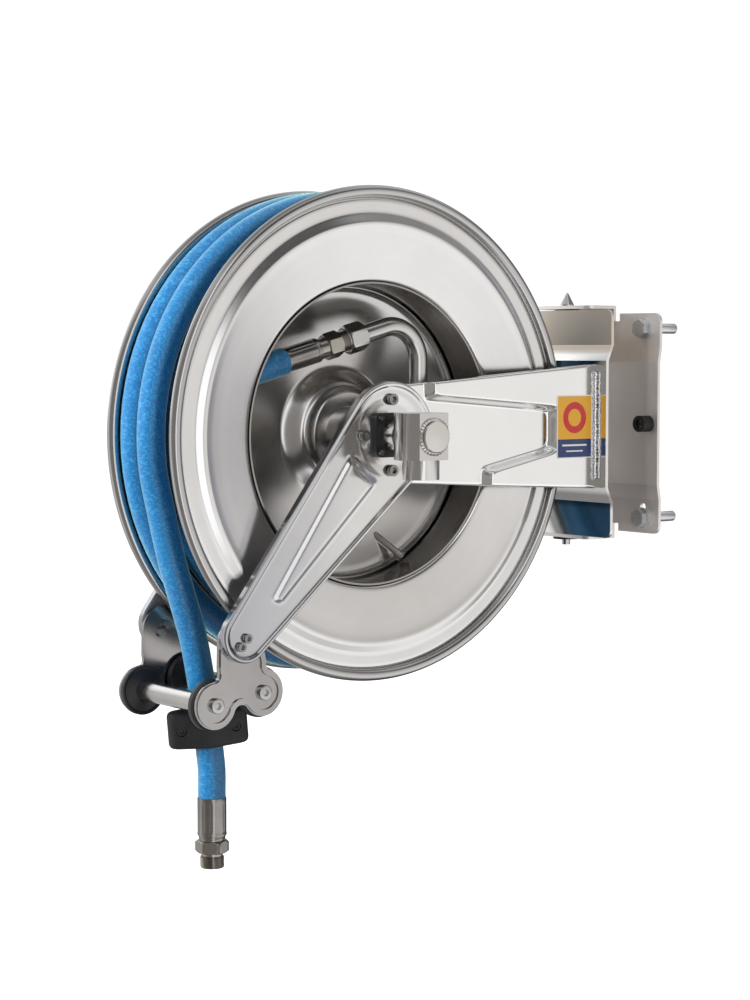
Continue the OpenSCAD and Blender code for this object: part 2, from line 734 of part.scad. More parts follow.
module hose_nipple() {
    color([0.62, 0.6, 0.56]) at_axis() difference() {
        union() {
            rod_z(end_x, 0, ferrule_z, hose_end_z - 2, 11);
            translate([end_x, 0, hex_z]) cylinder(h = ferrule_z - hex_z, d = 32 / cos(30), $fn = 6);
            rod_z(end_x, 0, hex_z - 3, hex_z, thread_r - 1.6);
            rod_z(end_x, 0, thread_z, hex_z - 3, thread_r);
        }
        rod_z(end_x, 0, thread_z - 1, hose_end_z + 1, 8);
    }
}

// latch
module pawl() {
    low = cover_end + 1.6;
    high = wheel_end - 0.4;
    color([0.45, 0.45, 0.47]) at_axis() difference() {
        union() {
            slab_y(low, high) polygon(bar_points(pawl_at, 9, pawl_tip, 2.5));
            rod_y(pawl_at, low, high, 9);
            rod_y(pawl_tip, low, high, 2.5);
        }
        rod_y(pawl_at, cover_end, wheel_end + 1, 4 + run);
    }
}

// drum
function flange_skin() = [[drum_r, lip_y], [drum_r + 4, lip_y + sheet], [flute_r, flute_y],
    [flute_r + 4, flute_y], [ring_r, ring_y], [rim_r - 14, ring_y], [rim_r - bead_d + 1, ring_y]];
module flange() {
    at_axis() {
        spin() polygon(concat(flange_skin(), back(shift(flange_skin(), [0, -sheet]))));
        spin() translate([rim_r - bead_d / 2, rim_y]) difference() {
            circle(r = bead_d / 2, $fn = 32);
            circle(r = bead_d / 2 - sheet * 0.9, $fn = 32);
        }
    }
}
module near_flange() {
    color([0.8, 0.8, 0.81]) near() flange();
}
module far_flange() {
    color([0.8, 0.8, 0.81]) flange();
}
module on_tail(t) {
    translate([tail_from[0], neck_plane, tail_from[1]]) rotate([0, -90 - tail_slope, 0])
        translate([0, 0, t]) children();
}
module drum_shell() {
    color([0.72, 0.72, 0.73]) at_axis() difference() {
        spin() translate([drum_r - sheet, -lip_y - 1]) square([sheet, 2 * lip_y + 2]);
        on_tail(100) cylinder(h = 120, r = hose_r + loose);
    }
}
module drum_web() {
    rim = drum_r - sheet;
    face = concat([[shaft_r, 2], [48, 2], [52, 14], [70, 14], [74, floor_y]],
        arc([rim - 7, floor_y - 5], 5, 90, 0, 5), [[rim - sheet, 8]]);
    rear = concat([[rim, 8]], arc([rim - 7, floor_y - 5], 7, 0, 90, 5),
        [[72, floor_back], [68, 14 + sheet], [50, 14 + sheet], [46, 2 + sheet], [shaft_r, 2 + sheet]]);
    color([0.6, 0.6, 0.61]) at_axis() spin() polygon(concat(face, rear));
}
module hub_sleeve() {
    color([0.5, 0.5, 0.51]) at_axis() difference() {
        spin() polygon([[shaft_r, hub_end], [hub_r - 2, hub_end], [hub_r, hub_end + 2], [hub_r, 2],
            [shaft_r, 2]]);
        rod_x(0, 50, neck_plane, 0, tube_d / 2 - 3);
        rod_x(hub_r - 6, 50, neck_plane, 0, tube_d / 2);
    }
}
module hollow_shaft() {
    color([0.65, 0.65, 0.67]) at_axis() difference() {
        union() {
            rod_y([0, 0], shoulder, 2 + sheet, shaft_r);
            rod_y([0, 0], neck_end, shoulder, neck_r);
        }
        rod_y([0, 0], neck_end - 1, neck_plane + 10, passage_r);
        rod_x(0, 50, neck_plane, 0, tube_d / 2 - 3);
        translate([0, swivel_y, -30]) cylinder(h = 60, r = 5);
        rod_x(-30, 30, swivel_y, 0, 5);
    }
}
module neck_bend(a0, a) {
    rotate([90, 0, 0]) rotate([0, 0, a0]) rotate_extrude(angle = a, $fn = 64)
        translate([tube_bend, 0]) neck_ring();
}
module neck_ring() {
    difference() {
        circle(r = tube_d / 2);
        circle(r = tube_d / 2 - 3);
    }
}
module gooseneck() {
    color([0.7, 0.7, 0.72]) at_axis() {
        translate([hub_r - 6, neck_plane, 0]) rotate([0, 90, 0])
            linear_extrude(height = bend_x - hub_r + 6) neck_ring();
        translate([bend_x, neck_plane, tube_bend]) neck_bend(-90, 90);
        translate([bend_x + tube_bend, neck_plane, tube_bend])
            linear_extrude(height = rise) neck_ring();
        translate([bend_x, neck_plane, tube_bend + rise]) neck_bend(0, 90 + tail_slope);
        on_tail(0) linear_extrude(height = nut_from + 17) neck_ring();
    }
}
module elbow_nut() {
    color([0.6, 0.59, 0.57]) at_axis() on_tail(nut_from) difference() {
        cylinder(h = nut_to - nut_from, d = 29 / cos(30), $fn = 6);
        translate([0, 0, -1]) cylinder(h = 18, r = tube_d / 2);
        cylinder(h = 60, r = tube_d / 2 - 1.5);
    }
}
module tail_fitting() {
    color([0.62, 0.6, 0.56]) at_axis() on_tail(nut_from + 17) difference() {
        union() {
            cylinder(h = 17, r = tube_d / 2 - 1.5);
            translate([0, 0, 17]) cylinder(h = 19, d = 26 / cos(30), $fn = 6);
            translate([0, 0, 36]) cylinder(h = fitting_to - nut_from - 53, r = 11.5);
        }
        translate([0, 0, -1]) cylinder(h = 60, r = 6);
    }
}
module tail_ferrule() {
    color([0.58, 0.57, 0.55]) at_axis() on_tail(fitting_to) difference() {
        cylinder(h = tail_ferrule_to - fitting_to, r = 13.5);
        translate([0, 0, -1]) cylinder(h = 60, r = 6);
    }
}
module hose_tail() {
    color([0.1, 0.42, 0.8]) at_axis() on_tail(tail_ferrule_to)
        cylinder(h = tail_to - tail_ferrule_to, r = hose_r);
}
module stay_rod() {
    from = [50, floor_y, 53 - drum_r];
    to = [72, -16, 22 - drum_r];
    d = to - from;
    color([0.6, 0.6, 0.62]) at_axis() intersection() {
        translate(from - 0.1 * d) rotate([0, acos(d[2] / norm(d)), atan2(d[1], d[0])]) {
            cylinder(h = norm(d) * 1.1, r = 4);
            translate([0, 0, norm(d)]) cylinder(h = 10, r = 6);
        }
        rod_y([0, 0], -60, floor_y, drum_r - sheet);
    }
}
module spring_case() {
    color([0.55, 0.55, 0.56]) at_axis() difference() {
        spin() polygon([[20, floor_back], [case_r, floor_back], [case_r, case_end],
            [case_r - 12, case_end], [case_r - 12, case_end - 4], [case_r - 4, case_end - 4],
            [case_r - 4, floor_back + sheet], [20, floor_back + sheet]]);
        for (a = [22.5:45:337.5]) rod_y(polar(case_r - 6, a), case_end - 10, case_end + 5, 2.5);
    }
}
module spring_cover() {
    color([0.68, 0.68, 0.69]) at_axis() difference() {
        spin() polygon([[boss_r + run, case_end], [case_r, case_end], [case_r, cover_end],
            [boss_r + run, cover_end]]);
        for (a = [22.5:45:337.5]) rod_y(polar(case_r - 6, a), case_end - 10, case_end + 5, 2.5);
    }
}
module cover_screws() {
    color([0.35, 0.35, 0.37]) at_axis() for (a = [22.5:45:337.5])
        cap_screw(polar(case_r - 6, a), cover_end, 6, 2.5, 4.25, 4);
}
module power_spring() {
    steps = 7 * 24;
    line = [for (i = [0:steps]) polar(case_r - 4.7 - i * (case_r - 34) / steps, i * 15)];
    inner = [for (i = [0:steps]) polar(case_r - 6.2 - i * (case_r - 34) / steps, i * 15)];
    color([0.3, 0.3, 0.33]) at_axis() slab_y(floor_back + sheet, case_end - 8)
        polygon(concat(line, back(inner)));
}
module ratchet_wheel() {
    step = 360 / ratchet_teeth;
    teeth = [for (i = [0:ratchet_teeth - 1]) each [polar(ratchet_r, i * step),
        polar(ratchet_r - 6, i * step + 2), polar(ratchet_r - 5.5, i * step + step / 2)]];
    color([0.4, 0.4, 0.42]) at_axis() difference() {
        union() {
            slab_y(cover_end, wheel_end) polygon(teeth);
            rod_y([0, 0], case_end - 6, boss_end, boss_r);
        }
        rod_y([0, 0], case_end - 7, boss_end + 1, arbor_r + run);
    }
}
module hose_core() {
    lip = lip_y - sheet - 0.6;
    outer = lip_y + (flute_y - lip_y - sheet) * (core_r - drum_r - 4) / (flute_r - drum_r - 4) - 0.7;
    color([0.08, 0.3, 0.6]) at_axis() difference() {
        spin() polygon([[drum_r + gap, -lip], [drum_r + 4, -lip_y + 0.7], [core_r, -outer],
            [core_r, outer], [drum_r + 4, lip_y - 0.7], [drum_r + gap, lip]]);
        on_tail(100) cylinder(h = tail_to - 99, r = hose_r + loose);
    }
}
module hose_turns() {
    color([0.1, 0.42, 0.8]) at_axis() tube_along(turn_route, hose_r, 6);
}

// inlet
module swivel_body() {
    color([0.62, 0.61, 0.6]) at_axis() difference() {
        union() {
            intersection() {
                rod_z(0, swivel_y, -25, 25, swivel_r);
                translate([-40, -155, -30]) cube([80, 48, 60]);
            }
            rod_z(0, swivel_y, -46, -25, 20);
        }
        rod_y([0, 0], -149, -100, neck_r + run);
        rod_y([0, 0], -156, -140, neck_r - 3);
        rod_y([0, 0], -140, -126.6, neck_r + 3);
        rod_y([0, 0], -121, -118, neck_r + 2.5);
        rod_y([0, 0], -145, -142, neck_r + 2.5);
        rod_z(0, swivel_y, -30, 0, 8);
        rod_z(0, swivel_y, -47, -28, inlet_r);
    }
}
module swivel_plug() {
    color([0.7, 0.7, 0.7]) at_axis() {
        rod_y([0, 0], -160, -155, plug_r);
        rod_y([0, 0], -155, -149.3, neck_r - 3);
        rod_y([0, 0], -163, -160, 6);
    }
}
module swivel_seals() {
    color([0.08, 0.08, 0.08]) at_axis() for (y = [-121, -145]) difference() {
        rod_y([0, 0], y, y + 3, neck_r + 2.5);
        rod_y([0, 0], y - 1, y + 4, neck_r + run);
    }
}

wall_plate();
wall_washers();
wall_bolts();
pivot_pin();
pivot_washer();
rubber_buffers();
buffer_screws();
base_plate();
hinge_bushes();
near_support_arm();
far_support_arm();
weld_beads();
near_guide_arm();
far_guide_arm();
near_hub_screws();
far_hub_screws();
near_bearing();
near_bearing_screws();
spring_arbor();
arbor_screws();
pawl_pin();
near_roller_plate();
far_roller_plate();
roller_plate_screws();
roller_bolts();
free_hose();
stop_front();
stop_back();
stop_screws();
hose_ferrule();
hose_nipple();
pawl();
near_flange();
far_flange();
drum_shell();
drum_web();
hub_sleeve();
hollow_shaft();
gooseneck();
elbow_nut();
tail_fitting();
tail_ferrule();
hose_tail();
stay_rod();
spring_case();
spring_cover();
cover_screws();
power_spring();
ratchet_wheel();
hose_core();
hose_turns();
swivel_body();
swivel_plug();
swivel_seals();
outer_roller_tube();
outer_roller_ends();
inner_roller_tube();
inner_roller_ends();
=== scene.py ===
import math

import bmesh
import bpy
from mathutils import Matrix, Vector
from mathutils.geometry import delaunay_2d_cdt


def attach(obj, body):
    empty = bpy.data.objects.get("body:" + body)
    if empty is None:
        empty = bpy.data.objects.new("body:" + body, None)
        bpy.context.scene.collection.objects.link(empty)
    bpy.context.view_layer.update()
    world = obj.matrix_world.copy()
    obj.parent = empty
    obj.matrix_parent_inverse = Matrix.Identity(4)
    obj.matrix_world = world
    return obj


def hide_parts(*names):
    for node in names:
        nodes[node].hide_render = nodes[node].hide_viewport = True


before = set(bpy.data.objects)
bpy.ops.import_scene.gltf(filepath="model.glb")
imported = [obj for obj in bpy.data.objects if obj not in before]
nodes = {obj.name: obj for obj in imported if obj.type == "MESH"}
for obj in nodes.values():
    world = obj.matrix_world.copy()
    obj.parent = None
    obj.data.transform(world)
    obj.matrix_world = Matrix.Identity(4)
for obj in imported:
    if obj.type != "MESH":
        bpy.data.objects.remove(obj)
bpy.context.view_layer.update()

# The reel axis in the part's frame, in millimetres. Shapes are given in millimetres from it;
# materials, lights and the floor are in metres.
AXIS = Vector((-364.0, 0.0, -6.0))
TO_AXIS = (-AXIS.x / 1000, 0, -AXIS.z / 1000)
SIDES = ((-1, "near"), (1, "far"))


def at(x, y, z):
    """A point given in millimetres from the reel axis, in metres in the part's frame."""
    return (Vector((x, y, z)) + AXIS) / 1000


def millimetres(matrix):
    """The place that a matrix in millimetres from the reel axis gives, in metres in the part's frame."""
    return Matrix.Scale(0.001, 4) @ Matrix.Translation(AXIS) @ matrix


def smooth(t):
    """A soft step from 0 to 1."""
    t = max(0.0, min(1.0, t))
    return t * t * (3 - 2 * t)


def new_object(name, data):
    obj = bpy.data.objects.new(name, data)
    bpy.context.scene.collection.objects.link(obj)
    return obj


# ---------------------------------------------------------------- camera
def make_camera():
    """The photo's camera, by its direction and distance from the reel axis."""
    azimuth, height = math.radians(37.93), math.radians(3.8)
    distance, to_right, down = 2500, 32.9, 74.8
    out = Vector((-math.sin(azimuth) * math.cos(height), -math.cos(azimuth) * math.cos(height), math.sin(height)))
    right = Vector((math.cos(azimuth), -math.sin(azimuth), 0))
    up = right.cross(-out)
    data = bpy.data.cameras.new("camera")
    data.lens, data.sensor_width = 80.93, 36
    data.clip_start, data.clip_end = 0.05, 60
    cam = new_object("camera", data)
    turn = Matrix((right, up, out)).transposed()
    place = (out * distance + right * to_right - up * down + AXIS) / 1000
    cam.matrix_world = Matrix.Translation(place) @ turn.to_4x4()
    bpy.context.scene.camera = cam


make_camera()


# ---------------------------------------------------------------- mesh helpers
def link(name, mesh, body, mat, crease=None, node=None):
    """Adds a piece that rides on body and stands for node. Edges over crease degrees are sharp; 0 is flat."""
    obj = new_object(name, mesh)
    mesh.materials.append(mat)
    for p in mesh.polygons:
        p.use_smooth = crease != 0
    if crease:
        mesh.set_sharp_from_angle(angle=math.radians(crease))
    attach(obj, body)
    if node:
        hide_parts(node)
    return obj


def from_bm(name, bm):
    """Ends a bmesh as a mesh with its faces turned outwards."""
    bmesh.ops.recalc_face_normals(bm, faces=bm.faces)
    mesh = bpy.data.meshes.new(name)
    bm.to_mesh(mesh)
    bm.free()
    return mesh


def angles(count):
    return [2 * math.pi * k / count for k in range(count)]


def bridge(bm, rows, ends=True):
    """Faces between each ring of points and the next, and over both ends."""
    for a, b in zip(rows, rows[1:]):
        for k in range(len(a)):
            m = (k + 1) % len(a)
            bm.faces.new((a[k], a[m], b[m], b[k]))
    if ends:
        bm.faces.new(rows[0])
        bm.faces.new(rows[-1])


def lathe(name, rings, steps=192):
    """Turns a closed profile of (radius, y) points round the reel axis."""
    bm = bmesh.new()
    rows = [[bm.verts.new(at(r * math.cos(a), y, r * math.sin(a))) for a in angles(steps)] for r, y in rings]
    bridge(bm, rows + rows[:1], ends=False)
    return from_bm(name, bm)


def sweep(name, path, radius, sides):
    """A round tube through the points, radius a number or one number for each point."""
    bm = bmesh.new()
    rows = []
    last = len(path) - 1
    side = Vector((0, 1, 0))
    for i, p in enumerate(path):
        t = (path[min(i + 1, last)] - path[max(i - 1, 0)]).normalized()
        side = (side - t * side.dot(t)).normalized()
        other = t.cross(side)
        r = radius[i] if isinstance(radius, list) else radius
        rows.append([bm.verts.new(p + r * (math.cos(a) * side + math.sin(a) * other)) for a in angles(sides)])
    bridge(bm, rows)
    return from_bm(name, bm)


def turned(name, node, place, rows, body, mat, sides=96):
    """A turned piece of stacked rings: rows of (height, radius or a function of the angle)."""
    bm = bmesh.new()
    made = []
    for h, r in rows:
        ring = [(a, r(a) if callable(r) else r) for a in angles(sides)]
        made.append([bm.verts.new(place @ Vector((s * math.cos(a), s * math.sin(a), h))) for a, s in ring])
    bridge(bm, made)
    return link(name, from_bm(name, bm), body, mat, 32, node)


def rounded(x0, x1, z0, z1, r, step):
    """Points round a rectangle whose corners have radius r, every step degrees."""
    out = []
    for x, z, start in ((x1 - r, z1 - r, 0), (x0 + r, z1 - r, 90), (x0 + r, z0 + r, 180), (x1 - r, z0 + r, 270)):
        for t in range(start, start + 91, step):
            a = math.radians(t)
            out.append((x + r * math.cos(a), z + r * math.sin(a)))
    return out


def spline(points, step):
    """A smooth line through the points, cut into pieces of about step."""
    out = []
    n = len(points)
    for i in range(n - 1):
        p0, p1, p2, p3 = points[max(i - 1, 0)], points[i], points[i + 1], points[min(i + 2, n - 1)]
        if i == 0:
            p0 = p1 * 2 - p2
        if i == n - 2:
            p3 = p2 * 2 - p1
        count = max(1, round((p2 - p1).length / step))
        for k in range(count):
            t = k / count
            out.append(0.5 * ((2 * p1) + (p2 - p0) * t + (2 * p0 - 5 * p1 + 4 * p2 - p3) * t * t
                              + (3 * p1 - p0 - 3 * p2 + p3) * t ** 3))
    out.append(points[-1])
    return out


# ---------------------------------------------------------------- materials
class Tree:
    """The node tree of a material or world, with short ways to add to it."""

    def __init__(self, owner):
        owner.use_nodes = True
        self.tree = owner.node_tree
        self.coord = self.add("ShaderNodeTexCoord")

    def add(self, kind, **values):
        """A new node. Values are its properties, or its inputs with _ for a space."""
        node = self.tree.nodes.new(kind)
        for key, value in values.items():
            if hasattr(node, key):
                setattr(node, key, value)
            else:
                node.inputs[key.replace("_", " ")].default_value = value
        return node

    def join(self, a, b):
        self.tree.links.new(a, b)

    def feed(self, socket, value):
        """Joins another node's output to the socket, or sets it to a number or colour."""
        if isinstance(value, tuple):
            socket.default_value = (*value, 1)[:4]
        elif isinstance(value, (int, float)):
            socket.default_value = value
        else:
            self.join(value, socket)

    def xyz(self, vector):
        split = self.add("ShaderNodeSeparateXYZ")
        self.join(vector, split.inputs[0])
        return tuple(split.outputs)

    def band(self, value, low, high, a=0.0, b=1.0, kind="LINEAR"):
        """a up to low, b from high on."""
        node = self.add("ShaderNodeMapRange", interpolation_type=kind, From_Min=low, From_Max=high, To_Min=a, To_Max=b)
        self.join(value, node.inputs["Value"])
        return node.outputs["Result"]

    def math(self, kind, a, b=None):
        node = self.add("ShaderNodeMath", operation=kind)
        self.feed(node.inputs[0], a)
        if b is not None:
            self.feed(node.inputs[1], b)
        return node.outputs[0]

    def plus(self, a, b):
        return self.math("ADD", a, b)

    def times(self, a, b):
        return self.math("MULTIPLY", a, b)

    def length(self, a, b):
        return self.math("SQRT", self.plus(self.times(a, a), self.times(b, b)))

    def mix(self, fac, a, b):
        node = self.add("ShaderNodeMix", data_type="RGBA")
        for key, value in ((0, fac), (6, a), (7, b)):
            self.feed(node.inputs[key], value)
        return node.outputs[2]


class Nodes(Tree):
    """A material's nodes."""

    def __init__(self, name):
        self.mat = bpy.data.materials.new(name)
        super().__init__(self.mat)
        self.shader = self.tree.nodes["Principled BSDF"]

    def set(self, **values):
        for key, value in values.items():
            self.feed(self.shader.inputs[key.replace("_", " ")], value)

    def fed(self, name):
        """The output that is joined to a shader input."""
        return self.shader.inputs[name].links[0].from_socket

    def place(self, scale=(1, 1, 1), location=(0, 0, 0)):
        node = self.add("ShaderNodeMapping", Scale=scale, Location=location)
        self.join(self.coord.outputs["Object"], node.inputs["Vector"])
        return node.outputs["Vector"]

    def noise(self, vector, scale, detail=3, rough=0.5):
        node = self.add("ShaderNodeTexNoise", Scale=scale, Detail=detail, Roughness=rough)
        self.join(vector, node.inputs["Vector"])
        return node.outputs["Fac"]

    def bump(self, height, strength, distance):
        node = self.add("ShaderNodeBump", Strength=strength, Distance=distance)
        self.join(height, node.inputs["Height"])
        if self.shader.inputs["Normal"].links:
            self.join(self.fed("Normal"), node.inputs["Normal"])
        self.set(Normal=node.outputs["Normal"])

    def spun(self):
        """(radius, height along the axis) round the reel axis, for turned and pressed discs."""
        x, y, z = self.xyz(self.place(location=TO_AXIS))
        return self.length(x, z), y


def shade(colour, by):
    return tuple(v * by for v in colour)


def steel_nodes(name, colour, rough, brush=None, grain=0.35, spread=0.08, stain=0.08, rim=None, tip=None,
                metal=1.0, inner=False):
    """Stainless sheet or turned steel.

    brush is x, y, z or spin, grain how deep it is, and stain how strongly the tone wanders. Outside the
    radius rim the tone is darkened as painted shade on the rolled rim, and past the x range tip it is darkened
    and turned bluer as painted shade. metal is how metallic it is, and inner makes the faces that are turned
    towards the drum rougher and half metallic.
    """
    m = Nodes(name)
    m.set(Metallic=metal)
    where = m.place()
    if brush == "spin":
        radius, along = m.spun()
        turn = m.add("ShaderNodeCombineXYZ")
        m.join(radius, turn.inputs[0])
        m.join(along, turn.inputs[1])
        fine, wide = m.noise(turn.outputs[0], 1400, 4, 0.6), m.noise(turn.outputs[0], 160, 2)
    else:
        line = m.place(scale={"x": (2, 60, 60), "y": (60, 2, 60), "z": (60, 60, 2), None: (30, 30, 30)}[brush])
        fine, wide = m.noise(line, 22, 5, 0.65), m.noise(line, 2.2)
    cloud = m.noise(where, 9, 4, 0.6)
    tone = m.mix(m.band(cloud, 0.35, 0.65), shade(colour, 1 - stain), shade(colour, 1 + stain * 0.4))
    tone = m.mix(m.times(m.band(wide, 0.3, 0.7), grain * 0.35), tone, shade(colour, 0.72))
    # painted shade: outside radius rim the rolled rim is darkened
    if rim:
        edge = 0.0006
        tone = m.mix(m.band(radius, rim - edge, rim + edge), tone, shade(colour, 0.66))
    # painted shade: the tone grows darker and bluer towards the x range tip
    if tip:
        tip_shade_colour = (colour[0] * 0.5, colour[1] * 0.52, colour[2] * 0.58)
        tone = m.mix(m.band(m.xyz(where)[0], *tip, 0.75, 0), tone, tip_shade_colour)
    both = m.plus(m.times(fine, 0.6), m.times(cloud, 0.4))
    gloss = m.band(both, 0.3, 0.7, max(0.02, rough - spread), rough + spread)
    if inner:
        outward = m.times(m.xyz(where)[1], m.xyz(m.coord.outputs["Normal"])[1])
        m.set(Metallic=m.band(outward, -0.06, -0.03, 0.5, 1))
        gloss = m.plus(gloss, m.band(outward, -0.06, -0.03, 0.3, 0))
    m.set(Base_Color=tone, Roughness=gloss)
    m.bump(fine, grain, 0.00006)
    return m


def steel(*args, **more):
    return steel_nodes(*args, **more).mat


def hose_blue():
    """Washing hose cover: matt blue rubber with a faint cloth print and a pale bloom."""
    m = Nodes("hose_blue")
    where = m.place()
    cloth = m.add("ShaderNodeTexVoronoi", feature="F1", Scale=620)
    m.join(where, cloth.inputs["Vector"])
    scuff = m.noise(where, 34, 5, 0.7)
    cloud = m.noise(where, 7)
    thread = m.noise(m.place(scale=(1, 0.25, 1)), 520, 2)
    fleck = m.noise(where, 230, 2, 0.6)
    tone = m.mix(m.band(cloud, 0.35, 0.65), (0.004, 0.09, 0.23), (0.006, 0.12, 0.285))
    tone = m.mix(m.band(thread, 0.45, 0.7, 0, 0.5), tone, (0.05, 0.3, 0.53))
    tone = m.mix(m.band(fleck, 0.5, 0.68, 0, 0.55), tone, (0.004, 0.07, 0.25))
    tone = m.mix(m.band(scuff, 0.62, 0.78, 0, 0.3), tone, (0.14, 0.4, 0.66))
    m.set(Base_Color=tone, Roughness=m.band(scuff, 0.3, 0.7, 0.36, 0.5), Specular_IOR_Level=0.5,
          Sheen_Weight=0.75, Sheen_Roughness=0.4, Sheen_Tint=(0.6, 1, 0.9, 1))
    m.bump(cloth.outputs["Distance"], 0.3, 0.0003)
    m.bump(m.noise(where, 240, 3, 0.6), 0.2, 0.0002)
    return m.mat


# a label from the reel axis, in millimetres
LABEL_X, LABEL_Z = (234, 289), (-32.5, 40)


def label_print():
    """White border, yellow field with a red ring, navy foot with two plain white bars."""
    white, navy, yellow, red = (0.84, 0.84, 0.83), (0.02, 0.045, 0.16), (0.85, 0.42, 0.02), (0.62, 0.02, 0.02)
    m = Nodes("label_print")
    x, _, z = m.xyz(m.place(location=(TO_AXIS[0] - sum(LABEL_X) / 2000, 0, TO_AXIS[2])))

    def between(value, low, high, soft=0.0002):
        return m.times(m.band(value, low - soft, low + soft), m.band(value, high - soft, high + soft, 1, 0))

    def field(half, low, high):
        return m.times(between(x, -half, half), between(z, low, high))

    tone = m.mix(field(0.026, -0.0313, 0.0388), white, navy)
    tone = m.mix(field(0.026, -0.0105, 0.0388), tone, yellow)
    far = m.length(x, m.math("SUBTRACT", z, 0.0142))
    tone = m.mix(between(far, 0.01, 0.018), tone, red)
    tone = m.mix(field(0.019, -0.0185, -0.0165), tone, white)
    tone = m.mix(field(0.013, -0.025, -0.0235), tone, white)
    cloud = m.noise(m.place(), 60)
    m.set(Base_Color=m.mix(m.band(cloud, 0.4, 0.9, 0, 0.12), tone, (0.5, 0.48, 0.45)),
          Roughness=m.band(cloud, 0.3, 0.7, 0.25, 0.4))
    return m.mat


def plastic(name, colour, rough, grain=500, strength=0.25, dust=0.25):
    """Moulded black plastic or rubber with a fine pebble and a little dust."""
    m = Nodes(name)
    where = m.place()
    cloud = m.noise(where, 45, 5, 0.65)
    tone = m.mix(m.band(cloud, 0.45, 0.8, 0, dust), colour, tuple(v + 0.05 for v in colour))
    m.set(Base_Color=tone, Roughness=m.band(cloud, 0.3, 0.7, rough - 0.08, rough + 0.08))
    m.bump(m.noise(where, grain, 2), strength, 0.0002)
    return m.mat


def base_steel():
    """The base plate: mirror bright, with a rougher satin band at its top tinted warm as painted reflection, and
    painted shade on the slope near its foot.
    """
    m = steel_nodes("base_steel", (0.78, 0.77, 0.76), 0.13, grain=0.03, spread=0.04, stain=0.05)
    z = m.xyz(m.coord.outputs["Object"])[2]
    # painted reflection: the top band is tinted warm; its added roughness is the satin finish
    top = m.band(z, 0.08, 0.087, 0, 0.42)
    # painted shade: the slope near the foot, which faces down, is darkened
    slope = m.times(m.band(z, -0.1, -0.094, 0, 0.65), m.band(z, -0.083, -0.077, 1, 0))
    warm = m.mix(top, m.fed("Base Color"), (1.0, 0.78, 0.52))
    m.set(Roughness=m.plus(m.fed("Roughness"), top), Base_Color=m.mix(slope, warm, (0.1, 0.095, 0.095)))
    return m.mat


# rim darkens the flange's rolled rim as painted shade
FLANGE = steel("flange_steel", (0.74, 0.73, 0.72), 0.19, "spin", grain=0.12, spread=0.04, stain=0.05, rim=0.257)
WELL = steel("well_steel", (0.6, 0.585, 0.57), 0.23, "spin", grain=0.06, spread=0.04, stain=0.08)
SHELL = steel("shell_steel", (0.36, 0.34, 0.32), 0.24, "spin", grain=0.06, spread=0.05, stain=0.1)
ARM = steel("arm_steel", (0.88, 0.875, 0.865), 0.17, "x", grain=0.1, spread=0.04, stain=0.03)
# tip darkens the guide arm towards its tip as painted shade, a little blue
GUIDE = steel("guide_steel", (0.72, 0.71, 0.7), 0.15, None, grain=0.08, spread=0.04, stain=0.08,
              tip=(-0.57, -0.41), inner=True)
CHEEK = steel("cheek_steel", (0.4, 0.385, 0.38), 0.15, None, grain=0.1, spread=0.05, stain=0.14)
PLATE = steel("plate_steel", (0.9, 0.86, 0.83), 0.4, "z", grain=0.12, stain=0.08, metal=0.78)
BASE = base_steel()
TURNED = steel("turned_steel", (0.58, 0.565, 0.55), 0.2, None, grain=0.05, stain=0.1)
BODY = steel("swivel_steel", (0.62, 0.605, 0.59), 0.2, "z", grain=0.05, spread=0.04, stain=0.06)
SCREW = steel("screw_steel", (0.3, 0.29, 0.28), 0.24, None, grain=0.05, stain=0.15)
STAY = steel("stay_steel", (0.75, 0.72, 0.68), 0.36, None, grain=0.05, stain=0.1)
BOLT = steel("bolt_steel", (0.5, 0.49, 0.48), 0.2, None, grain=0.05, stain=0.15)
# the stop's screws are near black as painted shade down in the stop's counterbores
STOP_SCREW_SHADE = steel("dark_screw_steel", (0.03, 0.03, 0.032), 0.35, None, grain=0.05, stain=0.1)
ZINC = steel("zinc_steel", (0.72, 0.73, 0.75), 0.3, None, grain=0.08, stain=0.1, metal=0.85)
CRIMP = steel("crimp_steel", (0.35, 0.333, 0.315), 0.24, "z", grain=0.12, stain=0.25)
SPRING = steel("spring_steel", (0.2, 0.19, 0.2), 0.35, "spin", grain=0.3, stain=0.2)
WELD = steel("weld_steel", (0.85, 0.85, 0.86), 0.13, None, grain=0.15, stain=0.15)
PLUG = steel("plug_steel", (0.68, 0.66, 0.63), 0.22, "spin", grain=0.2, stain=0.08)
BRASSY = steel("fitting_steel", (0.43, 0.4, 0.36), 0.22, "z", grain=0.1, stain=0.2)
HOSE = hose_blue()
LABEL = label_print()
BLACK = plastic("black_plastic", (0.012, 0.012, 0.013), 0.4)
RUBBER = plastic("black_rubber", (0.007, 0.007, 0.0075), 0.6, grain=260, strength=0.5, dust=0.15)

# the solids that show; the others are replaced below
PAINT = {
    WELL: "spring_case spring_cover",
    SHELL: "drum_shell",
    CHEEK: "near_roller_plate far_roller_plate",
    PLATE: "wall_plate",
    BASE: "base_plate",
    TURNED: "pivot_pin hub_sleeve hollow_shaft spring_arbor pawl_pin outer_roller_tube inner_roller_tube gooseneck",
    BODY: "swivel_body",
    SCREW: "near_hub_screws far_hub_screws roller_plate_screws cover_screws arbor_screws near_bearing_screws "
           "buffer_screws",
    STOP_SCREW_SHADE: "stop_screws",
    ZINC: "wall_bolts wall_washers",
    SPRING: "power_spring ratchet_wheel pawl",
    HOSE: "hose_tail",
    BLACK: "hinge_bushes outer_roller_ends inner_roller_ends pivot_washer",
    RUBBER: "rubber_buffers swivel_seals",
}
for mat, names in PAINT.items():
    for name in names.split():
        mesh = nodes[name].data
        mesh.materials.clear()
        mesh.materials.append(mat)


# ---------------------------------------------------------------- hoses
HOSE_R = 15.0
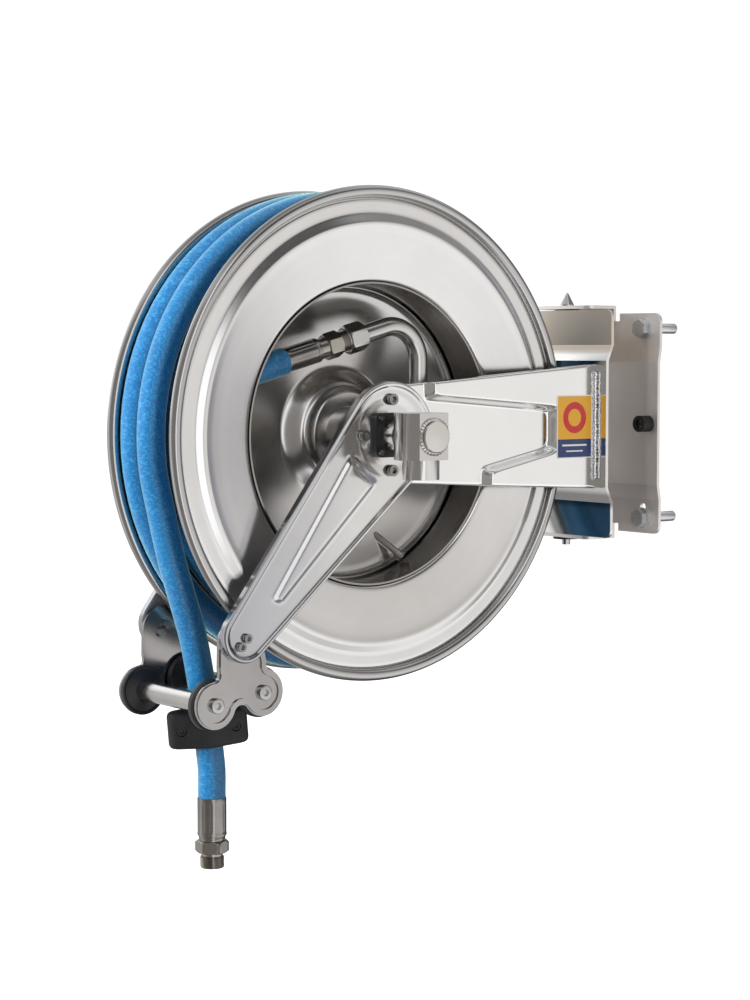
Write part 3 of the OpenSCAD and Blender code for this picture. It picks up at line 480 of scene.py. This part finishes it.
# radius of the hose's centreline in the lower and the upper layer
LOWER, UPPER = 221.5, 252.0
# the lower layer's last lane and how far it moves along the axis in a turn
LANE, PITCH = 36, 31.2
# where the wound hose leaves its tail and where it climbs to the upper layer, in degrees
TAIL, CLIMB = -910, -10
# the free hose at the top and the foot of its stop, and the x of its hanging end
STOP_TOP, STOP_LOW, END_X = (-187.4, 0.5, -286), (-182.9, 0.2, -336), -180.5


def free_route():
    """The hose from behind the base plate over the drum and down to its end fitting."""
    turn = [math.radians(CLIMB + 9.85 * k) for k in range(22)]
    return [(UPPER * math.cos(a), 4, UPPER * math.sin(a)) for a in turn] + [
        (-228, 3.08, -129), (-214.6, 2.38, -172), (-201.6, 1.65, -216), (-192.6, 0.9, -262),
        STOP_TOP, STOP_LOW, (END_X, 0, -357), (END_X, 0, -387)]


def lower_y(a):
    return LANE + (a - CLIMB) * PITCH / 360


def turn_at(a):
    """The wound hose's centre at a degrees: up from the tail, round the lower layer and up to the upper one."""
    if a < TAIL:
        f = (TAIL - a) / 30
        r, y = LOWER - 32 * f, lower_y(TAIL) + 4 * f
    elif a < CLIMB:
        r, y = LOWER, lower_y(a)
    else:
        r, y = LOWER + (UPPER - LOWER) * smooth((a - CLIMB) / 90), LANE
    w = math.radians(a)
    return at(r * math.cos(w), y, r * math.sin(w))


def free_hose(line):
    curve = bpy.data.curves.new("free_hose_cover", "CURVE")
    curve.dimensions = "3D"
    path = curve.splines.new("POLY")
    path.points.add(len(line) - 1)
    for point, p in zip(path.points, line):
        point.co = (*p, 1)
    curve.bevel_depth = HOSE_R / 1000
    curve.bevel_resolution = 7
    curve.use_fill_caps = True
    curve.materials.append(HOSE)
    piece = new_object("free_hose_cover", curve)
    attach(piece, "frame")
    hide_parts("free_hose")
    return piece


free_line = spline([at(*p) for p in free_route()], 0.012)
hose = free_hose(free_line)
wound = sweep("wound_hose", [turn_at(a) for a in range(-940, 351, 4)], HOSE_R / 1000, 24)
link("wound_hose", wound, "drum", HOSE, node="hose_turns")


def inner_layers():
    """The hose under the lower layer: a plain core with four rounded lanes on it."""
    rings = [(166.6, -48), (170, -49.6)]
    for lane in range(4):
        mid = -41.1 + lane * 27.4
        rings += [(192 + 13.9 * math.sin(math.radians(t)), mid - 13.6 * math.cos(math.radians(t)))
                  for t in range(12, 169, 13)]
    rings += [(170, 49.6), (166.6, 48)]
    link("inner_layers", lathe("inner_layers", rings), "drum", HOSE, node="hose_core")


inner_layers()


# ---------------------------------------------------------------- drum
def flange(name, side):
    """Pressed flange: inner lip, dished face, raised ring, flat ring and a rolled rim."""
    skin = [(166.3, 44), (166.4, 48.6), (167, 50.6), (168.3, 52.1), (170.2, 53), (173, 53.6), (180, 54.9),
            (192, 57.2), (206, 59.8), (218, 62), (224, 63.3), (226.6, 64.1), (228.6, 64.5), (230.6, 64.3),
            (232.4, 63.6), (237.6, 60.9), (239.6, 60.1), (241.4, 59.8), (244, 59.8), (251, 60.1), (254, 60),
            (256, 59.3), (257.3, 58)]
    bead, rim_r, rim_y = 6.5, 263.5, 60.6
    rim = [(rim_r + bead * math.cos(math.radians(a)), rim_y + bead * math.sin(math.radians(a)))
           for a in range(192, -141, -12)]
    under = [(257.2, 56.6), (255, 57.9), (241, 58), (238.4, 58.6), (231, 62.2), (228.6, 62.8), (226, 62.2),
             (172, 51.7), (169, 50.9), (168, 49.4), (167.9, 44)]
    return lathe(name, [(r, side * y) for r, y in skin + rim + under], 288)


for side, where in SIDES:
    name = where + "_flange_disc"
    link(name, flange(name, side), "drum", FLANGE, 38, where + "_flange")


def well():
    """Spun well floor: shallow dish, two flared steps and the hub face."""
    face = [(20, -4.5), (44, -4.5), (45.6, -4), (46.8, -2.8), (48.2, -0.8), (49.6, 1.2), (50.8, 2.8), (52, 4),
            (53.2, 4.8), (54.6, 5.3), (56, 5.8), (57.6, 6.9), (62, 10.6), (66, 14), (69.2, 16.6), (71.4, 18.2),
            (73.2, 19.2), (75, 19.8), (77.5, 20), (90, 19.5), (105, 17.8), (120, 15), (135, 11.1), (148, 6.9),
            (152.5, 5.5), (155, 5), (157.5, 4.2), (159.2, 2.4), (160.2, 0), (160.4, -3)]
    rear = [(161.6, -3), (161.6, 22), (20, 22)]
    link("well_floor", lathe("well", face + rear, 240), "drum", WELL, 40, "drum_web")


well()


def stay():
    """Stay rod in the well with its collar and toothed end."""
    foot, top = Vector((50, 21, -113)), Vector((70.5, -13.5, -142))
    length = (top - foot).length
    turn = (top - foot).normalized().to_track_quat("Z", "X").to_matrix().to_4x4()
    rows = [(0, 4.2), (length - 9, 4.2), (length - 8.6, 5.2), (length - 6, 5.2), (length - 5.6, 4.4),
            (length - 4, 4.4)]
    rows += [(h, lambda a: 5.6 + 0.9 * math.copysign(1, math.sin(8 * a))) for h in (length - 3.6, length - 1)]
    rows += [(length - 0.6, 3.2), (length, 2.8)]
    turned("stay_rod_turned", "stay_rod", millimetres(Matrix.Translation(foot) @ turn), rows, "drum", STAY)


stay()


def bearing():
    """Black bearing housing: square plate with rounded corners and a round boss."""
    def square(half, r, y):
        return y, rounded(-half, half, -half, half, r, 10)

    def circle(r, y):
        # 0.999 keeps the first and last point of two quarters apart
        turn = [math.radians(a0 + t * 0.999) for a0 in (0, 90, 180, 270) for t in range(0, 91, 10)]
        return y, [(r * math.cos(a), r * math.sin(a)) for a in turn]

    rows = [circle(19, 71.5), circle(19, 80.6), square(23.5, 7.5, 80.6), square(24, 8, 81.2), square(24, 8, 86),
            square(23.6, 7.6, 86.4), square(23, 7, 86.5), circle(18.5, 86.5), circle(17.6, 87.2), circle(17.4, 92),
            circle(16.8, 92.8), circle(15.8, 93), circle(14.9, 93), circle(14.9, 84)]
    bm = bmesh.new()
    bridge(bm, [[bm.verts.new(at(x, -y, z)) for x, z in row] for y, row in rows])
    link("bearing_housing", from_bm("bearing_housing", bm), "frame", BLACK, 30, "near_bearing")


bearing()


# ---------------------------------------------------------------- pressed arms
def off_line(x, z, a, b):
    """Distance of (x, z) to the left of the line from a to b."""
    dx, dz = b[0] - a[0], b[1] - a[1]
    return (dx * (z - a[1]) - dz * (x - a[0])) / math.hypot(dx, dz)


# the guide arm: where its tip is from its head, their radii, the level of its face and its points round the
# head, along a side and round the tip
TIP = (-192.0, -205.0)
HEAD_R, TIP_R = 58, 28
GUIDE_FACE = 82.5
COUNT = (96, 110, 60)
# sides of the raised panel: two corners and how wide that side's slope is
PANEL = [((-55, -13), (-11, -46), 16), ((-11, -46), (-146, -177), 11), ((-146, -177), (-164, -169), 7),
         ((-164, -169), (-55, -13), 10.5)]
# height of the rolled border above the face, by distance from the edge
BORDER = [(0, 0), (0.5, 1.2), (1.3, 2.1), (2.4, 2.6), (3.6, 2.5), (4.7, 1.9), (5.8, 1.0), (7, 0.35), (8.5, 0.05)]
# the turned-down edge and the back: level and inset from the outline
SKIRT = [(81.4, 0), (75.2, 0), (75.2, 2.8), (79.6, 2.8)]


def guide_outline(inset):
    """Points round the head, the tip and their common tangents, always started at the same place."""
    r0, r1 = HEAD_R - inset, TIP_R - inset
    base, half = math.atan2(TIP[1], TIP[0]), math.acos((r0 - r1) / math.hypot(*TIP))
    low, high = base - half, base + half

    def on(c, r, a):
        return c[0] + r * math.cos(a), c[1] + r * math.sin(a)

    def arc(n, c, r, start, by):
        return [on(c, r, start + by * (k / n)) for k in range(n)]

    def straight(n, p, q):
        return [(p[0] + (q[0] - p[0]) * (k / n), p[1] + (q[1] - p[1]) * (k / n)) for k in range(n)]

    head, along, tip = COUNT
    return (arc(head, (0, 0), r0, high, 2 * math.pi - 2 * half) + straight(along, on((0, 0), r0, low), on(TIP, r1, low))
            + arc(tip, TIP, r1, low, 2 * half) + straight(along, on(TIP, r1, high), on((0, 0), r0, high)))


def border_height(d):
    for (d0, h0), (d1, h1) in zip(BORDER, BORDER[1:]):
        if d <= d1:
            return h0 + (h1 - h0) * (d - d0) / (d1 - d0)
    return 0.0


def guide_height(x, z, d):
    """Height of the outer face above its level at (x, z), d from the edge."""
    rise = 4.2 * smooth((math.hypot(x, z) - 40) / 26)
    for a, b, wide in PANEL:
        rise *= smooth(-off_line(x, z, a, b) / wide)
    dish = 1.6 * smooth((46 - math.hypot(x, z)) / 14)
    return border_height(d) + rise - dish


def guide_skin():
    """Outer face of the guide arm as points (x, y, z) and faces, with the border rings first."""
    points, faces = [], []
    n = COUNT[0] + 2 * COUNT[1] + COUNT[2]
    for d, _ in BORDER:
        points += [(x, GUIDE_FACE + guide_height(x, z, d), z) for x, z in guide_outline(d)]
    first = (len(BORDER) - 1) * n
    for row in range(0, first, n):
        for k in range(n):
            m = (k + 1) % n
            faces.append((row + k, row + m, row + n + m, row + n + k))
    border, taper, grid = BORDER[-1][0], HEAD_R - TIP_R, 1.4
    long = math.hypot(*TIP)
    ux, uz = TIP[0] / long, TIP[1] / long
    lean = math.tan(math.asin(taper / long))
    spread = []
    for i in range(-34, 226):
        for j in range(-36, 37):
            u, v = grid * i, grid * j
            along = max(0.0, min(long, u - abs(v) * lean))
            if math.hypot(u - along, v) < HEAD_R - taper * along / long - border - 0.9:
                spread.append(Vector((u * ux - v * uz, u * uz + v * ux)))
    inner = [Vector(p) for p in guide_outline(border)]
    edges = [(k, (k + 1) % n) for k in range(n)]
    flat, _, tris, *_ = delaunay_2d_cdt(inner + spread, edges, [], 1, 1e-5)
    points += [(p.x, GUIDE_FACE + guide_height(p.x, p.y, border + 1), p.y) for p in flat[n:]]
    faces += [tuple(first + k for k in t) for t in tris]
    return points, faces, n


GUIDE_SKIN = guide_skin()


def guide_arm(name, side, node):
    """The pressed guide arm: turned-down skirt, rolled border, raised panel and a dished head."""
    points, faces, n = GUIDE_SKIN
    bm = bmesh.new()
    verts = [bm.verts.new(at(x, side * y, z)) for x, y, z in points]
    for f in faces:
        bm.faces.new([verts[k] for k in f])
    skirt = [[bm.verts.new(at(x, side * y, z)) for x, z in guide_outline(inset)] for y, inset in SKIRT]
    bridge(bm, [verts[:n]] + skirt, ends=False)
    bm.faces.new(skirt[-1])
    link(name, from_bm(name, bm), "frame", GUIDE, 45, node)


# the support arm: its head's radius, its end, the level of its face at the head and the step beyond it
SUPPORT_R, SUPPORT_END, SUPPORT_FACE, SUPPORT_STEP = 53, 295.5, 79.5, 12


def support_edge(x, spread):
    """Height of an edge over the middle at x: round the head, then spreading towards the end."""
    return SUPPORT_R + x * spread / SUPPORT_END if x > 0 else math.sqrt(max(SUPPORT_R ** 2 - x * x, 0))


def soft_max(a, b, k):
    return k * math.log(math.exp(min(a / k, 60)) + math.exp(min(b / k, 60)))


def support_face(x, z):
    """Outer face of a support arm: the head's level, then further out beyond the pressed step."""
    top = soft_max(50 - x, off_line(x, z, (234, 24), (51, 39)), 2.5)
    low = soft_max(133 - x, off_line(x, z, (136, -41), (234, -21)), 2.5)
    depth = -soft_max(-top, soft_max(-low, x - 233, 4), 3)
    return SUPPORT_FACE + SUPPORT_STEP * (1 - smooth((depth + 5.5) / 9))


def support_arm(name, side, node):
    """Pressed support arm with its joggle, rolled edges and the turned-in top and bottom strips."""
    cols = [-SUPPORT_R * math.cos(math.radians(t)) for t in range(6, 90, 4)] + [0.6 + 1.45 * k for k in range(204)]
    cols = [x for x in cols if x < SUPPORT_END - 0.1] + [SUPPORT_END]
    sheet, strip = 4, 3.2
    bm = bmesh.new()
    loops = []
    for x in cols:
        zt, zb = support_edge(x, 22.5), -support_edge(x, 15.8)
        r = min(3.0, 0.2 * (zt - zb))
        ring = []
        for k in range(109):
            z = zb + r + (zt - zb - 2 * r) * k / 108
            ring.append((support_face(x, z), z))
        y = support_face(x, zt - r)
        ring += [(y - r * (1 - math.cos(a)), zt - r * (1 - math.sin(a))) for a in (0.52, 1.05, 1.57)]
        end = SUPPORT_FACE if x > 62 else y - sheet
        ring += [(min(end, y - strip), zt), (min(end, y - strip), zt - r)]
        for k in range(30, -1, -1):
            z = zb + r + 0.6 + (zt - zb - 2 * r - 1.2) * k / 30
            ring.append((support_face(x, z) - sheet, z))
        y = support_face(x, zb + r)
        end = SUPPORT_FACE if x > 142 else (70.5 if 10 < x < 124 else y - sheet)
        ring += [(min(end, y - strip), zb + r), (min(end, y - strip), zb)]
        ring += [(y - r * (1 - math.cos(a)), zb + r * (1 - math.sin(a))) for a in (1.57, 1.05, 0.52)]
        loops.append([bm.verts.new(at(x, side * y, z)) for y, z in ring])
    bridge(bm, loops)
    link(name, from_bm(name, bm), "frame", ARM, 50, node)


def sticker(name, side):
    """The printed label on a support arm, a thin plate with rounded corners."""
    level = SUPPORT_FACE + SUPPORT_STEP
    outline = rounded(*LABEL_X, *LABEL_Z, 1.5, 30)
    bm = bmesh.new()
    bridge(bm, [[bm.verts.new(at(x, side * y, z)) for x, z in outline] for y in (level - 0.2, level + 0.3)])
    link(name, from_bm(name, bm), "frame", LABEL, crease=0)


def weld_run(name, side):
    """A ropy weld run down the end of a support arm."""
    path, radius = [], []
    for k in range(251):
        z = -58 + 0.5 * k
        path.append(at(292.6 + 0.35 * math.sin(z * 0.9), side * (92.4 + 0.3 * math.sin(z * 1.7)), z))
        radius.append((2.7 + 0.45 * math.sin(z * 1.9) + 0.35 * math.sin(z * 0.6 + 1)) / 1000)
    link(name, sweep(name, path, radius, 14), "frame", WELD, node="weld_beads")


for side, where in SIDES:
    guide_arm(where + "_guide_arm_pressed", side, where + "_guide_arm")
    support_arm(where + "_support_arm_pressed", side, where + "_support_arm")
    sticker(where + "_label", side)
    weld_run(where + "_weld_run", side)


# ---------------------------------------------------------------- inlet plug
def turned_plug():
    """The inlet's plug with a knurled edge and a turned face."""
    rings = [(0.2, -150), (14, -150), (14, -155), (20.4, -155), (20.4, -156.4), (18.5, -157.9), (17.9, -157.9),
             (17.7, -156.9), (17.2, -156.9), (17, -157.4), (17, -159.8), (16.1, -160.7), (8, -161.2),
             (0.2, -161.7)]
    knurled, notch = (4, 5), 0.5
    bm = bmesh.new()
    rows = []
    for i, (r, y) in enumerate(rings):
        radii = [r - (notch if i in knurled and k % 6 in (0, 1) else 0) for k in range(180)]
        rows.append([bm.verts.new(at(s * math.cos(a), y, s * math.sin(a))) for a, s in zip(angles(180), radii)])
    bridge(bm, rows)
    link("turned_plug", from_bm("turned_plug", bm), "inlet_swivel", PLUG, 35, "swivel_plug")


turned_plug()


# ---------------------------------------------------------------- hose fittings
def hexagon(af, a):
    """Radius at the angle a of a hexagon that is af across its flats."""
    a = (a % (math.pi / 3)) - math.pi / 6
    return af / 2 / math.cos(a)


def nut_rows(af, h0, h1):
    """Hexagon with its corners turned off at both ends."""
    flat, corner = af / 2, af / 2 / math.cos(math.pi / 6)
    turn_off = ((0, flat - 0.4), (0.5, flat + 0.3), (1.1, flat + 1.2), (1.8, corner + 1))
    ends = [(h0 + d, cap) for d, cap in turn_off] + [(h1 - d, cap) for d, cap in reversed(turn_off)]
    return [(h, lambda a, cap=cap: min(hexagon(af, a), cap)) for h, cap in ends]


def crimp(radius, deep, count):
    """A sleeve pressed in by count jaws."""
    return lambda a: radius - deep * (0.5 + 0.5 * math.cos(count * a)) ** 4


def thread_rows(low, high, root, depth, pitch, rings):
    """A screw thread that runs in and out over its first and last rings."""
    rows = []
    for k in range(rings + 1):
        z = low + (high - low) * k / rings
        tooth = depth * min(1.0, k / 4, (rings - k) / 4)
        rows.append((z, lambda a, z=z, tooth=tooth: root + tooth * abs(
            2 * ((z / pitch + a / (2 * math.pi)) % 1.0) - 1)))
    return rows


def hose_end():
    """The ferrule and the nipple at the free end of the hose."""
    place = millimetres(Matrix.Translation((END_X, 0, 0)) @ Matrix.Rotation(math.radians(-38), 4, "Z"))
    rows = [(-432.5, 12.6), (-432, 14.2), (-430.6, 14.6), (-429.8, 14.2), (-429.2, 14.2), (-428.4, 15.6),
            (-427.4, 15.9), (-425.6, 15.9), (-424.6, 15.6)]
    rows += [(z, crimp(15.75, 0.28, 12)) for z in (-423.5, -418, -410, -402, -396, -392.6)]
    rows += [(-391, 15.75), (-388, 15.75), (-387.3, 15.6), (-387, 15.1)]
    sleeve = turned("crimped_ferrule", "hose_ferrule", place, rows, "frame", CRIMP)
    rows = [(-463.7, 8.2)] + thread_rows(-463.6, -450.4, 11.9, 1.25, 1.8, 73)
    rows += [(-450.2, 11.6), (-447.4, 11.6), (-447.2, 13)] + nut_rows(32, -447, -433.6) + [(-433.4, 13.4), (-432, 13.4)]
    return [sleeve, turned("threaded_nipple", "hose_nipple", place, rows, "frame", BRASSY, sides=120)]


def hose_tail():
    """The elbow nut, the fitting and the ferrule between the gooseneck and the hose in the well."""
    place = millimetres(Matrix.Translation((31.7, -30, 116.7)) @ Matrix.Rotation(math.radians(-105), 4, "Y"))
    rows = [(33, 10.8)] + nut_rows(29, 33.2, 56.6) + [(56.8, 12.4), (58, 12.4)]
    turned("elbow_nut_turned", "elbow_nut", place, rows, "drum", TURNED)
    rows = [(57, 11)] + [(58 + 0.45 * k, 11.2 + 0.5 * (k % 2)) for k in range(20)]
    rows += nut_rows(26, 67.2, 86) + [(86.2, 11.5), (96.6, 11.5)]
    turned("tail_fitting_turned", "tail_fitting", place, rows, "drum", BRASSY)
    rows = [(96.6, 10.5), (96.9, 12.6), (97.6, 13.5), (101, 13.5), (101.8, 13), (102.6, 13), (103.4, 13.5)]
    rows += [(z, crimp(13.5, 0.5, 8)) for z in (105, 112, 122, 132, 137)]
    rows += [(139, 13.5), (142, 13.5), (142.7, 13.2), (143, 12.6)]
    turned("tail_ferrule_crimped", "tail_ferrule", place, rows, "drum", CRIMP)


def roller_bolt(name, x, z):
    """Axle bolt: cap head with a hex socket at the near side, nut at the far side."""
    head, plate, shank = 5, 75, 5
    nut = head + 2 * plate
    place = millimetres(Matrix.Translation((x, -plate - head, z)) @ Matrix.Rotation(-math.pi / 2, 4, "X"))
    rows = [(h, lambda a, af=af: hexagon(af, a)) for h, af in ((2.6, 6.4), (0.3, 6.4), (0, 7.0))]
    rows += [(0, 7.1), (0.25, 7.6), (0.7, 7.9), (1.2, 8), (4.9, 8), (head, 7.9), (head, shank), (nut, shank)]
    rows += nut_rows(16, nut, nut + 8) + [(nut + 8, shank), (nut + 8.6, shank), (nut + 9, 4.4)]
    turned(name, "roller_bolts", place, rows, "frame", BOLT)


on_hose = [nodes["stop_screws"]] + hose_end()
hose_tail()
roller_bolt("outer_roller_bolt", -225, -275)
roller_bolt("inner_roller_bolt", -165, -266.5)


# ---------------------------------------------------------------- hose stop
# the block from the hose's middle: radius at the middle, radius of an ear and how far out the ear is
STOP_R, EAR_R, EAR = 23, 14, 29
# its seam and the screw's two bores: radius, from, to
SEAM = -0.3
BORES = ((5.5, -30, -8), (2.9, -30, 4))
# height, inset of the outline and radius of the hose groove
STOP_ROWS = ((-19.7, 4.2, 16.6), (-19.2, 2.6, 15.8), (-18, 1.2, 15.2), (-16, 0.3, 15.1), (-14, 0, 15.1),
             (14, 0, 15.1), (16, 0.3, 15.1), (18, 1.2, 15.2), (19.2, 2.6, 15.8), (19.7, 4.2, 16.6))


def stop_outline(inset, bore):
    """Points round one half of the stop, from its seam round both ears and back along the hose groove."""
    meet = math.asin((STOP_R - EAR_R) / EAR)
    r0, r1 = STOP_R - inset, EAR_R - inset
    end = [math.pi / 2 + (math.pi / 2 - meet) * k / 8 for k in range(1, 9)]
    groove = [math.pi / 2 - math.pi * k / 16 for k in range(1, 16)]
    ring = [(SEAM, EAR + EAR_R - inset)]
    ring += [(r1 * math.cos(a), EAR + r1 * math.sin(a)) for a in end]
    ring += [(-r0 * math.cos(t), r0 * math.sin(t)) for t in (meet * (4 - k) / 4 for k in range(9))]
    ring += [(r1 * math.cos(a), -EAR - r1 * math.sin(a)) for a in reversed(end)]
    ring += [(SEAM, inset - EAR - EAR_R), (SEAM, -bore)]
    ring += [(SEAM - bore * math.cos(t), -bore * math.sin(t)) for t in groove]
    return ring + [(SEAM, bore)]


def stop_half(name, turn):
    """Half of the rubber stop: an oval block with rounded edges, a hose groove and two counterbores."""
    bm = bmesh.new()
    bridge(bm, [[bm.verts.new((x, y, h)) for x, y in stop_outline(inset, bore)] for h, inset, bore in STOP_ROWS])
    block = new_object(name, from_bm(name, bm))
    tools = [block]
    for ear in (-EAR, EAR):
        for r, x0, x1 in BORES:
            bm = bmesh.new()
            bmesh.ops.create_cone(bm, cap_ends=True, segments=40, radius1=r, radius2=r, depth=x1 - x0)
            where = Matrix.Translation(((x0 + x1) / 2, ear, 0)) @ Matrix.Rotation(math.pi / 2, 4, "Y")
            bmesh.ops.transform(bm, matrix=where, verts=bm.verts)
            drill = new_object("drill", from_bm("drill", bm))
            cut = block.modifiers.new("cut", "BOOLEAN")
            cut.operation, cut.solver, cut.object = "DIFFERENCE", "EXACT", drill
            tools.append(drill)
    mesh = bpy.data.meshes.new_from_object(block.evaluated_get(bpy.context.evaluated_depsgraph_get()))
    for tool in tools:
        bpy.data.objects.remove(tool)
    axis = (Vector(STOP_LOW) - Vector(STOP_TOP)).normalized()
    place = Matrix.Translation(Vector(STOP_TOP) + axis * 24.6)
    tilt = Matrix.Rotation(-math.atan2(axis.x, -axis.z), 4, "Y")
    mesh.transform(millimetres(place @ tilt @ Matrix.Rotation(math.radians(62 + turn), 4, "Z")))
    return mesh


for node, turn in (("stop_front", 0), ("stop_back", 180)):
    name = node + "_moulded"
    on_hose.append(link(name, stop_half(name, turn), "frame", RUBBER, 30, node))


# ---------------------------------------------------------------- broken edges
def soften(name, width):
    """Joins a solid's face patches and breaks its sharp edges by width."""
    obj = nodes[name]
    weld = obj.modifiers.new("weld", "WELD")
    weld.merge_threshold = 0.000005
    bevel = obj.modifiers.new("edges", "BEVEL")
    bevel.width = width / 1000
    bevel.segments = 3
    bevel.limit_method = "ANGLE"
    bevel.angle_limit = math.radians(35)
    bevel.harden_normals = True


for width, names in ((0.95, "near_roller_plate far_roller_plate"), (1.0, "swivel_body"), (0.7, "wall_plate base_plate"),
                     (0.5, "near_hub_screws far_hub_screws wall_bolts roller_plate_screws outer_roller_ends "
                           "inner_roller_ends ratchet_wheel")):
    for name in names.split():
        soften(name, width)
# ---------------------------------------------------------------- light, floor and backdrop
def area(name, where, size, power, colour=(1, 1, 1), glossy=False):
    """A rectangular light that faces the reel. The metal sees it only where glossy is set."""
    middle = Vector((-0.36, 0, -0.02))
    data = bpy.data.lights.new(name, "AREA")
    data.shape = "RECTANGLE"
    data.size, data.size_y = size
    data.energy = power
    data.color = colour
    obj = new_object(name, data)
    obj.location = where
    obj.rotation_mode = "QUATERNION"
    obj.rotation_quaternion = (middle - Vector(where)).to_track_quat("-Z", "Y")
    obj.visible_camera = False
    obj.visible_glossy = glossy


area("left", (-2.9, 0.5, 0.9), (1.0, 2.4), 175, (0.93, 0.97, 1))
area("front", (-2.2, -2.2, 1.4), (1.6, 1.6), 5)
area("top", (-0.2, -0.4, 2.6), (2.4, 1.2), 12)
area("back", (-1.1, 2.6, 0.9), (1.6, 1.6), 8, glossy=True)


class Sky(Tree):
    """The studio as the metal sees it: soft panels given by azimuth and height."""

    def __init__(self):
        self.world = bpy.data.worlds.new("studio")
        super().__init__(self.world)
        self.x, self.y, self.z = self.xyz(self.coord.outputs["Generated"])
        self.flat = self.math("MAXIMUM", self.length(self.x, self.y), 0.001)
        self.colour = None

    def base(self, stops):
        """The tone by height, from -1 straight down to 1 straight up."""
        ramp = self.add("ShaderNodeValToRGB")
        e = ramp.color_ramp.elements
        while len(e) < len(stops):
            e.new(0.5)
        for element, (z, colour) in zip(e, stops):
            element.position = (z + 1) / 2
            element.color = (*colour, 1)
        self.join(self.plus(self.times(self.z, 0.5), 0.5), ramp.inputs["Fac"])
        self.colour = ramp.outputs["Color"]

    def panel(self, az, half, soft, low, high, soft_z, colour):
        """Mixes colour in within half degrees of azimuth az and between heights low and high."""
        def step(value, start, end):
            return self.band(value, start, end, kind="SMOOTHSTEP")

        a = math.radians(az)
        outer, inner = math.radians(min(half + soft, 180)), math.radians(max(half - soft, 0))
        across = self.plus(self.times(self.x, math.cos(a)), self.times(self.y, math.sin(a)))
        side = step(self.math("DIVIDE", across, self.flat), math.cos(outer), math.cos(inner))
        up = step(self.z, low - soft_z, low + soft_z)
        down = self.math("SUBTRACT", 1.0, step(self.z, high - soft_z, high + soft_z))
        self.colour = self.mix(self.times(side, self.times(up, down)), self.colour, colour)

    def finish(self):
        """Shows the camera plain white and the metal the panels."""
        path = self.add("ShaderNodeLightPath")
        seen = self.mix(path.outputs["Is Camera Ray"], self.colour, (1.1, 1.1, 1.1))
        self.join(seen, self.tree.nodes["Background"].inputs["Color"])
        bpy.context.scene.world = self.world


sky = Sky()
sky.base([(-1, (0.3, 0.29, 0.28)), (-0.75, (0.4, 0.39, 0.38)), (-0.45, (0.75, 0.74, 0.73)),
          (-0.1, (0.5, 0.49, 0.48)), (0.3, (0.4, 0.4, 0.4)), (0.6, (0.72, 0.73, 0.75)), (0.8, (0.8, 0.8, 0.81)),
          (0.93, (0.4, 0.4, 0.4)), (1, (0.3, 0.3, 0.3))])
for values in ((52, 62, 12, -0.9, 0.42, 0.1, (0.07, 0.07, 0.075)),
               (2, 18, 12, -0.7, 0.5, 0.12, (0.14, 0.135, 0.14)),
               (-150, 38, 9, -0.85, 0.75, 0.1, (0.3, 0.285, 0.27)),
               (134, 15, 6, -0.6, 0.4, 0.12, (1.0, 1.0, 1.0)),
               (-54, 35, 7, -0.7, 0.34, 0.1, (0.93, 0.915, 0.9)),
               (-50, 40, 8, -0.7, -0.16, 0.09, (1.12, 1.12, 1.12)),
               (-50, 34, 12, 0.16, 0.4, 0.14, (0.68, 0.65, 0.625)),
               (-14, 19, 9, -0.17, 0.4, 0.08, (0.26, 0.26, 0.3)),
               (-74, 25, 5, 0.36, 0.78, 0.06, (0.09, 0.088, 0.09)),
               (-32, 16, 8, 0.42, 0.72, 0.08, (0.28, 0.28, 0.28)),
               (88, 37, 9, -0.8, 0.34, 0.1, (0.62, 0.61, 0.6)),
               (-109, 11, 3, -0.9, 0.78, 0.1, (1.5, 1.52, 1.56))):
    sky.panel(*values)
sky.finish()


def floor():
    """A white disc well under the reel, unseen by the metal."""
    bm = bmesh.new()
    bmesh.ops.create_circle(bm, cap_ends=True, radius=9, segments=96)
    bmesh.ops.translate(bm, vec=(0, 0, -0.95), verts=bm.verts)
    mesh = from_bm("floor", bm)
    m = Nodes("floor_white")
    tone = m.mix(m.noise(m.place(), 1.5, 2), (0.86, 0.86, 0.86), (0.9, 0.9, 0.9))
    m.set(Base_Color=tone, Emission_Color=tone, Roughness=0.8, Emission_Strength=0.9)
    mesh.materials.append(m.mat)
    obj = new_object("floor", mesh)
    obj.visible_glossy = False
    obj.visible_diffuse = False


floor()
bpy.context.scene.view_settings.view_transform = "Standard"
